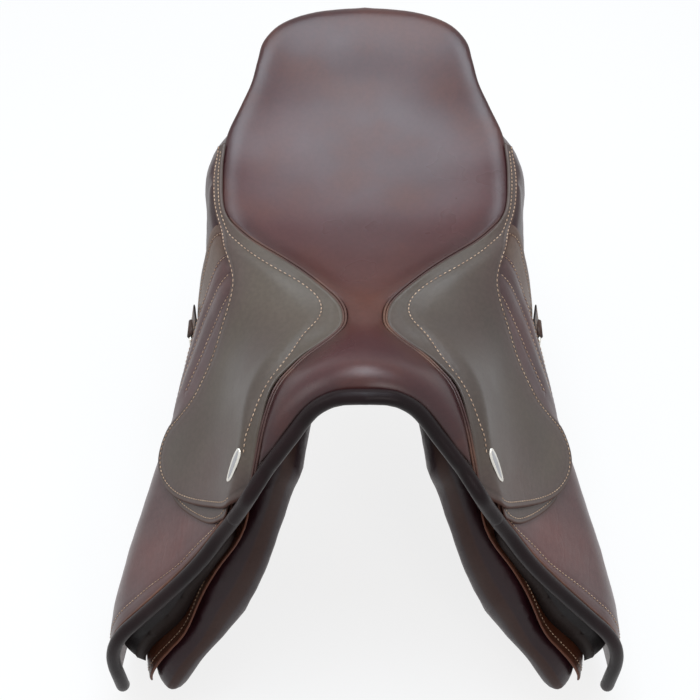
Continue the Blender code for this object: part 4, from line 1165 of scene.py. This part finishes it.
strap_hide = hide("strap_hide", (0.24, 0.165, 0.14), (0.16, 0.10, 0.085), (0.36, 0.25, 0.20),
                  (0.2, 0.13, 0.11), (0.12, 0.08, 0.07), rough=0.38, grain=(1000.0, 0.02),
                  rubbing=0.6, edge_row=BILLET_ROW, rim_reach=6.0)
half_at = functools.partial(rim_half, thickness=BILLET_THICKNESS)


def billet(y0):
    """One strap: its outline, and a pattern with its row of holes."""
    half, shoulder = BILLET_WIDTH / 2, BILLET_END_U - POINT_LENGTH
    outline = [(y0 - half, BILLET_START_U), (y0 - half, shoulder), (y0 - POINT_HALF, BILLET_END_U),
               (y0 + POINT_HALF, BILLET_END_U), (y0 + half, shoulder), (y0 + half, BILLET_START_U)]
    bm = cut_pattern(outline, 12.5, (0.5, 1.5))
    for k in range(HOLE_COUNT):
        at = Vector((y0, BILLET_END_U - FIRST_HOLE_UP - k * HOLE_SPACING))
        near = [f for f in bm.faces if abs(f.calc_center_median().x - at.x) < HOLE_SQUARE
                and abs(f.calc_center_median().y - at.y) < HOLE_SQUARE]
        if not near:
            continue
        region = bmesh.ops.dissolve_faces(bm, faces=near)["region"]
        if len(region) != 1:
            continue
        bmesh.ops.inset_region(bm, faces=region, thickness=HOLE_FLAT, use_even_offset=True)
        centre = region[0].calc_center_median()
        for vert in region[0].verts:
            away = Vector((vert.co.x - centre.x, vert.co.y - centre.y))
            vert.co.x, vert.co.y = at + away.normalized() * HOLE_SIZE / 2
        bmesh.ops.delete(bm, geom=region, context="FACES_ONLY")
    return outline, bm


def billet_point(y, u, upper, rim, row):
    """A point of a strap, which lies at one height under the flap."""
    return on_side(y, u, BILLET_LAYER + (half_at(rim) if upper else -half_at(rim)))


def web_point(y, u, upper, rim, row):
    """A point of a web, which comes down from the tree to lie over the top of its billet."""
    fall = (WEB_LAYER - WEB_LOW_LAYER) * ease(u, WEB_BEND_U, BILLET_START_U - 2)
    return on_side(y, u, WEB_LOW_LAYER + fall + (0.5 if upper else -0.5) * WEB_STRAP_THICKNESS)


for number in (1, 2, 3):
    y0 = BILLET_FIRST_Y + (number - 1) * BILLET_SPACING
    outline, bm = billet(y0)
    bm = lay(bm, outline, billet_point)
    inner = BILLET_WIDTH / 2 - BILLET_ROW
    rows = [[(y0 + s * inner, BILLET_START_U + BILLET_ROW_ENDS[0]),
             (y0 + s * inner, BILLET_END_U - BILLET_ROW_ENDS[1])] for s in (-1, 1)]
    threads = stitched(rows, lambda y, u: on_side(y, u, BILLET_LAYER + BILLET_STITCH_LIFT))
    bm = joined((bm, 0), (threads, 1))
    dress_pair("girth_strap_%d" % number, mesh_of(bm, strap_hide, cream_thread),
               "billet_%d_body_SIDE" % number, ["billet_%d" % number])
    half = WEB_WIDTH / 2
    outline = [(y0 - half, WEB_START_U), (y0 - half, WEB_END_U), (y0 + half, WEB_END_U),
               (y0 + half, WEB_START_U)]
    bm = lay(cut_pattern(outline, 9), outline, web_point)
    dress_pair("strap_web_%d" % number, mesh_of(bm, jute), "saddle",
               ["billet_web_%d" % number])


# Flaps: one firm piece of hide a side, worked close to the tree at the top. Two padded
# channels are stitched beside the skirt, and a row runs down inside the front roll.
FLAP_BELOW = ((-299, 341), (-290, 354), (-276, 365), (-256, 371), (-235, 370), (-213, 364),
              (-160, 330), (-104, 272), (-66, 210), (-36, 158), (-13, 110), (-5, 70), (-2, 45),
              (-6, 27))
FLAP_TOP_Y = (-34, -46, -58, -70, -80.0)
FLAP_TOP_MARGIN = 30.0
FLAP_UNDER_ROLL = 1.5
FLAP_ROW = ((-243, 104), (-247, 122), (-251, 150), (-259, 179), (-264, 222), (-272, 264),
            (-281, 306), (-284, 330))
CHANNEL_ROWS = (((-22, 46), (-25, 70), (-30, 99), (-42, 124), (-61, 152), (-86, 186)),
                ((-38, 50), (-44, 72), (-53, 97), (-68, 122), (-88, 150)))
CHANNEL_PLACES = ((-7.5, 8.0), (10.0, 10.0))
CHANNEL_PUFF = 1.3
FLAP_RUCK = (0.03, 0.5)
FLAP_CREASE = (0.05, 0.35)
FLAP_CREASE_STRETCH = (1.6, 0.5)
FLAP_RUCK_U = (90, 130)
BACK_ROW = 3.2
BACK_ROW_FROM = 2
KNEE_PLACE = (-230, 195)
KNEE_REACH = (34, 70)
flap_hide = hide("flap_hide", (0.335, 0.245, 0.245), (0.28, 0.2, 0.205), (0.41, 0.235, 0.22),
                 (0.31, 0.205, 0.195), (0.30, 0.165, 0.11), rough=0.32, grain=(1000.0, 0.02),
                 crease=0.07, rubbing=0.25, edge_row=BACK_ROW, rim_reach=22.0, shine=0.42)
seam_u = fair([(p[1], (p[0] - p[2]) / ROOT2) for p in SEAM])
hinge_u = fair([HINGE_FRONT[:2], HINGE_BACK[:2]])
flap_edge = inset_line(rounded(FLAP_FRONT, 5, closed=False), -ROLL_RADIUS + FLAP_UNDER_ROLL)
outline = [p for p in flap_edge if p[1] > hinge_u(p[0])] + rounded(FLAP_BELOW, 5, closed=False)
outline += [(y, seam_u(y) + FLAP_TOP_MARGIN) for y in FLAP_TOP_Y]
outline += [(FLAP_TOP_Y[-1], hinge_u(FLAP_TOP_Y[-1]))]
channels = [rounded(row, 6, closed=False) for row in CHANNEL_ROWS]
channel_middles = [(inset_line(channels[0], away), half) for away, half in CHANNEL_PLACES]
flap_row = rounded(FLAP_ROW, 6, closed=False)
back_row = inward(rounded(FLAP_BELOW[BACK_ROW_FROM:], 6, closed=False), outline, BACK_ROW)


def flap_point(y, u, upper, rim, row):
    """A point of the flap, a little uneven below the bend line and raised over its channels."""
    uneven = swell((y, u, 20), *FLAP_RUCK)
    uneven += swell((y * FLAP_CREASE_STRETCH[0], u * FLAP_CREASE_STRETCH[1], 70), *FLAP_CREASE)
    half = rim_half(rim, FLAP_THICKNESS)
    puffed = CHANNEL_PUFF * max(1 - ease(line_distance(np.array([(y, u)]), middle)[0], 0.0, half)
                                for middle, half in channel_middles)
    return on_side(y, u, uneven * ease(u, *FLAP_RUCK_U) + (half + puffed if upper else -half))


def bell(y, u, place, reach):
    """1 at a place of the pattern, fading round it."""
    return math.exp(-((y - place[0]) / reach[0]) ** 2 - ((u - place[1]) / reach[1]) ** 2)


def flap_wear(y, u):
    """The front of the flap, where the knee creases it."""
    return bell(y, u, KNEE_PLACE, KNEE_REACH)


bm = cut_pattern(outline, 4, (0.5, 1.6, BACK_ROW))
bm = lay(bm, outline, flap_point, [flap_row, channels[1][::-1], channels[0]], worn=flap_wear)
threads = stitched([flap_row, back_row] + channels,
                   lambda y, u: flap_point(y, u, True, 9, 0) + Vector((0.1, 0, 0.1)))
bm = joined((bm, 0), (threads, 1))
dress_pair("flap_hide", mesh_of(bm, flap_hide, cream_thread), "flap_body_SIDE",
           ["flap", "flap_top"], bend=flap_bend)


# Skirts: thick hide sewn into the seat seam, lying over the top of the flap and doming over
# the stirrup bar. A smaller skirt lies under each one's front lobe.
SKIRT_EDGE = ((-245, 50), (-246, 82), (-231, 114), (-206, 158), (-186, 183), (-162, 198),
              (-138, 197), (-121, 180), (-114, 152), (-108, 131), (-92, 105), (-68, 75),
              (-46, 47), (-26, 37), (10, 40), (48, 44), (90, 42), (122, 37))
UNDER_SKIRT_EDGE = ((-246, 90), (-247, 106), (-240, 126), (-222, 152), (-200, 176), (-184, 184),
                    (-178, 160), (-196, 110), (-214, 80))
SKIRT_ROW = ((114, 33), (84, 36), (48, 37), (18, 34), (4, 27), (-14, 14), (-31, -1), (-47, -17),
             (-59, -27), (-71, -34), (-86, -37), (-103, -35), (-121, -28), (-145, -20), (-166, -10),
             (-183, 1), (-200, 15), (-210, 27), (-219, 36))
SKIRT_THICKNESS = 3.6
UNDER_SKIRT_THICKNESS = 1.8
LAYER_GAP = 1.5
SKIRT_GAP = 1.0
UNDER_SKIRT_LAYER = FLAP_THICKNESS / 2 + LAYER_GAP + UNDER_SKIRT_THICKNESS / 2
SKIRT_LAYER = UNDER_SKIRT_LAYER + UNDER_SKIRT_THICKNESS / 2 + SKIRT_GAP + SKIRT_THICKNESS / 2
SKIRT_SEAM_LAYER = -0.8
SKIRT_LOW_REACH = 5.0
SEAM_STEP_REACH = 24.0
SKIRT_BACK_ROW = 2.4
BAR_DOME = 11.0
BAR_PLACE = (-134, 20)
BAR_DOME_REACH = (66, 44)
LOBE_PLACE = (-205, 105)
LOBE_REACH = (40, 60)
SKIRT_SEAM_Y = (-244, 130)
SKIRT_SEAM_IN = PIPING_RADIUS * 2 - 0.4
NARROW_ROW_Y = (-60, -20)
EDGE_ROW_FROM = 4
SKIRT_RUCK = 0.3
STITCH_LIFT = 0.1
UNDER_SKIRT_ROW = 4.5
UNDER_SKIRT_STITCH_LIFT = 1.0
skirt_hide = hide("skirt_hide", (0.345, 0.305, 0.265), (0.285, 0.245, 0.225), (0.35, 0.285, 0.265),
                  (0.315, 0.255, 0.24), (0.27, 0.155, 0.115), rough=0.38, grain=(1050.0, 0.02),
                  crease=0.04, rubbing=0.2, edge_row=EDGE_ROW, rim_reach=30.0, edge_width=1.2,
                  shine=0.36)


def bar_dome(y, u):
    """How far the skirt stands off over the stirrup bar."""
    return BAR_DOME * bell(y, u, BAR_PLACE, BAR_DOME_REACH)


seam_h = fair([(p[1], (p[0] + p[2]) / ROOT2) for p in SEAM])


@functools.lru_cache(maxsize=None)
def seam_step(y):
    """How far the seam with the seat stands over the side form."""
    return seam_h(y) - side_height(y, seam_u(y))


def skirt_layer(y, u):
    """Meeting the piping at the seam, then lying over the flap and doming over the stirrup bar."""
    beyond = u - seam_u(y)
    lie = ease(beyond, SKIRT_LOW_REACH, FLAP_TOP_MARGIN)
    step = seam_step(y) * (1 - ease(beyond, 0.0, SEAM_STEP_REACH))
    return SKIRT_SEAM_LAYER + step + (SKIRT_LAYER - SKIRT_SEAM_LAYER) * lie + bar_dome(y, u)


def skirt_wear(y, u):
    """The front lobe of the skirt, which wrinkles as the stirrup leather moves under it."""
    return bell(y, u, LOBE_PLACE, LOBE_REACH)


def parted(mesh):
    """The two sides of the bend line, as meshes that keep the whole leather's normals."""
    bm = bmesh.new()
    bm.from_mesh(mesh)
    at, to = hinge_middle * MM, down_pattern
    bmesh.ops.bisect_plane(bm, geom=bm.verts[:] + bm.edges[:] + bm.faces[:],
                           plane_co=at, plane_no=to)
    bm.normal_update()
    layer = bm.verts.layers.float_vector.new("whole_normal")
    for vert in bm.verts:
        vert[layer] = vert.normal
    halves = []
    for keep in (-1, 1):
        half = bm.copy()
        gone = [f for f in half.faces if (f.calc_center_median() - at).dot(to) * keep < 0]
        bmesh.ops.delete(half, geom=gone, context="FACES")
        made = mesh_of(half, *mesh.materials)
        normals = [tuple(item.vector) for item in made.attributes["whole_normal"].data]
        made.normals_split_custom_set_from_vertices(normals)
        made.attributes.remove(made.attributes["whole_normal"])
        halves.append(made)
    bm.free()
    return halves


def on_skirt(y, u):
    """The top of the skirt, where its stitches lie."""
    uneven = leather_swell(y, u, SKIRT_THICKNESS, SKIRT_RUCK)
    return on_side(y, u, skirt_layer(y, u) + uneven + SKIRT_THICKNESS / 2 + STITCH_LIFT)


lower_edge = rounded(SKIRT_EDGE, 5, closed=False)
seam_edge = [(y, seam_u(y)) for x, y, z in SEAM if SKIRT_SEAM_Y[0] < y < SKIRT_SEAM_Y[1]]
seam_edge = inset_line(rounded(seam_edge, 2, closed=False), SKIRT_SEAM_IN)
outline = lower_edge + seam_edge[::-1]
skirt_rows = [rounded(SKIRT_ROW, 6, closed=False)]
far_in = inward(lower_edge, outline, EDGE_ROW)
near_in = inward(lower_edge, outline, SKIRT_BACK_ROW)
edge_row = [tuple(Vector(a).lerp(Vector(b), ease(p[0], *NARROW_ROW_Y)))
            for a, b, p in zip(far_in, near_in, lower_edge)]
bm = leather(outline, SKIRT_THICKNESS, skirt_layer, 5, skirt_rows, ruck=SKIRT_RUCK,
             worn=skirt_wear, free=lower_edge, ring=SKIRT_BACK_ROW)
bm = joined((bm, 0), (stitched(skirt_rows + [edge_row[EDGE_ROW_FROM:]], on_skirt), 1))
upper_mesh, lower_mesh = parted(mesh_of(bm, skirt_hide, cream_thread))
dress_pair("skirt_upper_hide", upper_mesh, "saddle", ["skirt_top"],
           bend=flap_bend)
dress_pair("skirt_lower_hide", lower_mesh, "skirt_body_SIDE", ["skirt"],
           bend=skirt_bend)


def under_layer(y, u):
    """Where the under-skirt lies: on the flap, doming with the skirt over it."""
    return UNDER_SKIRT_LAYER + bar_dome(y, u)


outline = rounded(UNDER_SKIRT_EDGE, 6)
bm = leather(outline, UNDER_SKIRT_THICKNESS, under_layer, 8, ruck=0.1)
edge_row = inward(rounded(UNDER_SKIRT_EDGE[:6], 6, closed=False), outline, UNDER_SKIRT_ROW)
inside = [p for p in edge_row
          if line_distance(np.array([p]), outline, closed=True)[0] > UNDER_SKIRT_ROW - 1]
threads = stitched([inside], lambda y, u: on_side(
    y, u, under_layer(y, u) + UNDER_SKIRT_STITCH_LIFT))
bm = joined((bm, 0), (threads, 1))
dress_pair("under_skirt_hide", mesh_of(bm, skirt_hide, cream_thread),
           "skirt_body_SIDE", ["under_skirt"])


# Oval plates: small stamped plates of polished metal at the front corners of the skirts,
# with a raised rim round a plain sunk middle.
OVAL_FRONT = (-216, 38)
OVAL_BACK = (-227, 74)
OVAL_WIDTH = 12.0
OVAL_THICKNESS = 1.8
OVAL_RIM = 2.1
OVAL_ROUND = 0.9
OVAL_BEDDED = 0.3
OVAL_POINTED = 0.12
OVAL_SINK = ((0.9, 1.3, 2.4), (-0.5, 2.6, 4.6))
OVAL_POINTS = 48
along = Vector(OVAL_BACK) - Vector(OVAL_FRONT)
middle = (Vector(OVAL_BACK) + Vector(OVAL_FRONT)) / 2
side_way = Vector((-along.y, along.x)).normalized()
outline = []
for k in range(OVAL_POINTS):
    turn = k * math.tau / OVAL_POINTS
    narrow = OVAL_WIDTH / 2 * math.sin(turn) * (1 - OVAL_POINTED * math.cos(turn) ** 2)
    outline.append(tuple(middle + along / 2 * math.cos(turn) + side_way * narrow))


def oval_point(y, u, upper, rim, row):
    """A point of the plate: a rounded rim round a sunk middle that swells a little."""
    sunk = sum(deep * ease(rim, start, end) for deep, start, end in OVAL_SINK)
    raised = OVAL_THICKNESS * crown(rim, OVAL_ROUND, 0.3) - sunk
    top = skirt_layer(y, u) + SKIRT_THICKNESS / 2
    return on_side(y, u, top + (raised if upper else -OVAL_BEDDED))


bm = lay(cut_pattern(outline, 2.5, (0.25, 0.6, 1.1, 1.6, OVAL_RIM)), outline, oval_point)
depth = bm.verts.layers.float["rim"]
for face in bm.faces:
    if min(vert[depth] for vert in face.verts) > OVAL_RIM - 0.1:
        face.material_index = 1
dress_pair("plain_oval", mesh_of(bm, polished, steel), "saddle", ["oval_plate"])


# Dees: bent steel wire in folded leather chapes, stitched near the back edge of each sweat
# flap. A breastplate or a pad strap clips to them.
DEE_Y = 12.0
DEE_U = 176.0
DEE_WIDTH = 30.0
DEE_DROP = 20.0
DEE_WIRE = 1.8
CHAPE_WIDTH = 20.0
CHAPE_LENGTH = 24.0
CHAPE_THICKNESS = 2.4
CHAPE_GAP = 2.6
CHAPE_WALL = 1.9
CHAPE_ROW = 6.5
CHAPE_ROW_ENDS = (3, 8)
CHAPE_STITCH_LIFT = 1.25
CHAPE_PITCH = 3.2
DEE_SHAPE = ((-1, 0), (-0.5, 0), (0.5, 0), (1, 0), (0.97, -0.45), (0.62, -0.86), (0, -1),
             (-0.62, -0.86), (-0.97, -0.45))
chape_layer = SWEAT_FLAP_THICKNESS / 2 + CHAPE_GAP + CHAPE_THICKNESS / 2
dee_at = on_side(DEE_Y, DEE_U, sweat_layer(DEE_Y, DEE_U) + chape_layer + DEE_WIRE)
path = [dee_at + Vector((0, a * (DEE_WIDTH / 2), b * DEE_DROP)) for a, b in rounded(DEE_SHAPE, 5)]
dress_pair("dee_wire", mesh_of(tube(path, DEE_WIRE, 12, closed=True), polished),
           "dee_body_SIDE", ["dee"])
half = CHAPE_WIDTH / 2
outline = [(DEE_Y - half, DEE_U - CHAPE_LENGTH), (DEE_Y - half, DEE_U - 1),
           (DEE_Y + half, DEE_U - 1), (DEE_Y + half, DEE_U - CHAPE_LENGTH)]
bm = leather(outline, CHAPE_THICKNESS, lambda y, u: sweat_layer(y, u) + chape_layer, 5, ruck=0.0)
barrel = bmesh.new()
round_wire = (DEE_WIRE + CHAPE_THICKNESS) * MM
turn = Matrix.Translation(dee_at * MM) @ Matrix.Rotation(math.pi / 2, 4, "X")
bmesh.ops.create_cone(barrel, cap_ends=False, segments=24, radius1=round_wire, radius2=round_wire,
                      depth=CHAPE_WIDTH * MM, matrix=turn)
bmesh.ops.solidify(barrel, geom=barrel.faces[:], thickness=CHAPE_WALL * MM)
bmesh.ops.recalc_face_normals(barrel, faces=barrel.faces[:])
mark(barrel)
rows = [[(DEE_Y + k * CHAPE_ROW, DEE_U - CHAPE_LENGTH + CHAPE_ROW_ENDS[0]),
         (DEE_Y + k * CHAPE_ROW, DEE_U - CHAPE_ROW_ENDS[1])] for k in (-1, 1)]
threads = stitched(rows, lambda y, u: on_side(
    y, u, sweat_layer(y, u) + chape_layer + CHAPE_STITCH_LIFT), CHAPE_PITCH)
bm = joined((bm, 0), (barrel, 0), (threads, 1))
dress_pair("dee_loop", mesh_of(bm, strap_hide, cream_thread), "saddle",
           ["dee_chape"])


# Cantle band: a strip of seat hide under the piping, turned round the back of the tree. It
# is deepest in the middle and hides the rim of the tree and the edge of the cover.
CANTLE_FIRST_Y = 128.0
CANTLE_THICKNESS = 3.0
CANTLE_MIDDLE = 0.01
CANTLE_SIDE_HEIGHT = 16.0
CANTLE_BACK_HEIGHT = 32.0
CANTLE_BAND_DEPTH = 8.2
BAND_PATTERN = 30
back_line = [Vector(p) for p in SEAM if p[1] > CANTLE_FIRST_Y][::-1]
reach = [0.0]
for one, two in zip(back_line, back_line[1:]):
    reach.append(reach[-1] + (two - one).length)
band_x, band_y, band_z = [fair([(s, p[axis]) for s, p in zip(reach, back_line)])
                          for axis in range(3)]


def cantle_point(s, down, upper, rim, row):
    """A place on the band: s runs round from the middle of the cantle, and down to its edge."""
    here = abs(s)
    along = Vector((band_x(here + 1) - band_x(here - 1), band_y(here + 1) - band_y(here - 1), 0))
    if here < CANTLE_MIDDLE:
        along = Vector((1, 0, 0))
    along.normalize()
    off = rim_half(rim, CANTLE_THICKNESS) * (1 if upper else -1)
    part = 1 - here / reach[-1]
    height = CANTLE_SIDE_HEIGHT + (CANTLE_BACK_HEIGHT - CANTLE_SIDE_HEIGHT) * part
    top_z = band_z(here) - CANTLE_BAND_DEPTH
    x = band_x(here) - along.y * off
    return (math.copysign(x, s) if here > CANTLE_MIDDLE else 0.0, band_y(here) + along.x * off,
            top_z - height * down / BAND_PATTERN)


outline = [(reach[-1], 0.0), (reach[-1], BAND_PATTERN), (-reach[-1], BAND_PATTERN),
           (-reach[-1], 0.0)]
bm = lay(cut_pattern(outline, 6, (0.5, 1.5)), outline, cantle_point)
dress("cantle_hide", mesh_of(bm, seat_hide), "saddle", ["cantle_band"])


# Studio: a pale floor, two cool soft lamps overhead, and two warmer fills. The camera looks
# down on the front of the saddle, as the photograph does.
CAMERA_AT = (0.0, -0.8878, 1.1092)
CAMERA_TILT = 40.0
LENS = 71.51
PICTURE = 700
PICTURE_MIDDLE = (365, 267.6)
FLOOR_SIZE = 6.0
FLOOR_GAP = 0.004
FLOOR_GLOW = 1.04
FLOOR_SHARE = 0.78
SKY_LIGHT = 0.26
# name, place, aim, width and length, watts, colour
LAMPS = (
    ("overhead", (0, 0.45, 1.9), (0, 0.43, 0), (1.0, 1.8), 27.0, (0.80, 0.91, 1.0)),
    ("pommel", (0, 0.05, 1.5), (0, 0.0, 0.1), (2.0, 0.9), 12.0, (0.80, 0.91, 1.0)),
    ("front", (0.7, -1.5, 1.2), (0, 0, 0), (0.6, 0.6), 6.0, (1.0, 0.96, 0.94)),
    ("left", (-1.6, -0.3, 1.0), (0, 0, 0), (0.8, 0.8), 4.0, (1.0, 0.96, 0.94)),
)
floor_material, tree, shader = finish_on("pale_floor")
shader.inputs["Base Color"].default_value = (0.88, 0.88, 0.88, 1)
shader.inputs["Roughness"].default_value = 0.9
shader.inputs["Specular IOR Level"].default_value = 0.0


def seen_directly(tree):
    """1 for what the camera sees, also in metal or through glass."""
    path = node(tree, "ShaderNodeLightPath").outputs
    seen = sums(tree, "MAXIMUM", path["Is Camera Ray"], path["Is Glossy Ray"])
    return sums(tree, "MAXIMUM", seen, path["Is Transmission Ray"])


bright = node(tree, "ShaderNodeEmission", {"Color": (1, 1, 1, 1), "Strength": FLOOR_GLOW})
share = sums(tree, "MULTIPLY", seen_directly(tree), FLOOR_SHARE)
mixed = node(tree, "ShaderNodeMixShader", {0: share, 1: shader.outputs[0], 2: bright.outputs[0]})
tree.links.new(mixed.outputs[0], tree.nodes["Material Output"].inputs["Surface"])
bm = bmesh.new()
bmesh.ops.create_grid(bm, x_segments=1, y_segments=1, size=FLOOR_SIZE)
bmesh.ops.translate(bm, vec=(0, 0, cad_box[0][2] - FLOOR_GAP), verts=bm.verts[:])
mesh = bpy.data.meshes.new("floor")
bm.to_mesh(mesh)
bm.free()
mesh.materials.append(floor_material)
floor = bpy.data.objects.new("floor", mesh)
bpy.context.scene.collection.objects.link(floor)

world = bpy.data.worlds.new("studio")
bpy.context.scene.world = world
world.use_nodes = True
tree = world.node_tree
sky = tree.nodes["Background"]
sky.inputs["Color"].default_value = (1, 1, 1, 1)
sky.inputs["Strength"].default_value = SKY_LIGHT
seen = node(tree, "ShaderNodeBackground", {"Color": (1, 1, 1, 1), "Strength": 1.0})
mixed = node(tree, "ShaderNodeMixShader",
             {0: seen_directly(tree), 1: sky.outputs[0], 2: seen.outputs[0]})
tree.links.new(mixed.outputs[0], tree.nodes["World Output"].inputs["Surface"])

for name, at, aim, size, power, color in LAMPS:
    lamp = bpy.data.lights.new(name, "AREA")
    lamp.shape = "RECTANGLE"
    lamp.size, lamp.size_y = size
    lamp.energy = power
    lamp.color = color
    light = bpy.data.objects.new(name, lamp)
    light.location = at
    light.rotation_euler = (Vector(aim) - Vector(at)).to_track_quat("-Z", "Y").to_euler()
    bpy.context.scene.collection.objects.link(light)

lens = bpy.data.cameras.new("camera")
lens.sensor_width = 36.0
lens.lens = LENS
lens.shift_x = -(PICTURE_MIDDLE[0] - PICTURE / 2) / PICTURE
lens.shift_y = -(PICTURE / 2 - PICTURE_MIDDLE[1]) / PICTURE
camera = bpy.data.objects.new("camera", lens)
camera.location = CAMERA_AT
camera.rotation_euler = (math.radians(CAMERA_TILT), 0, 0)
bpy.context.scene.collection.objects.link(camera)
bpy.context.scene.camera = camera
bpy.context.scene.view_settings.view_transform = "Standard"
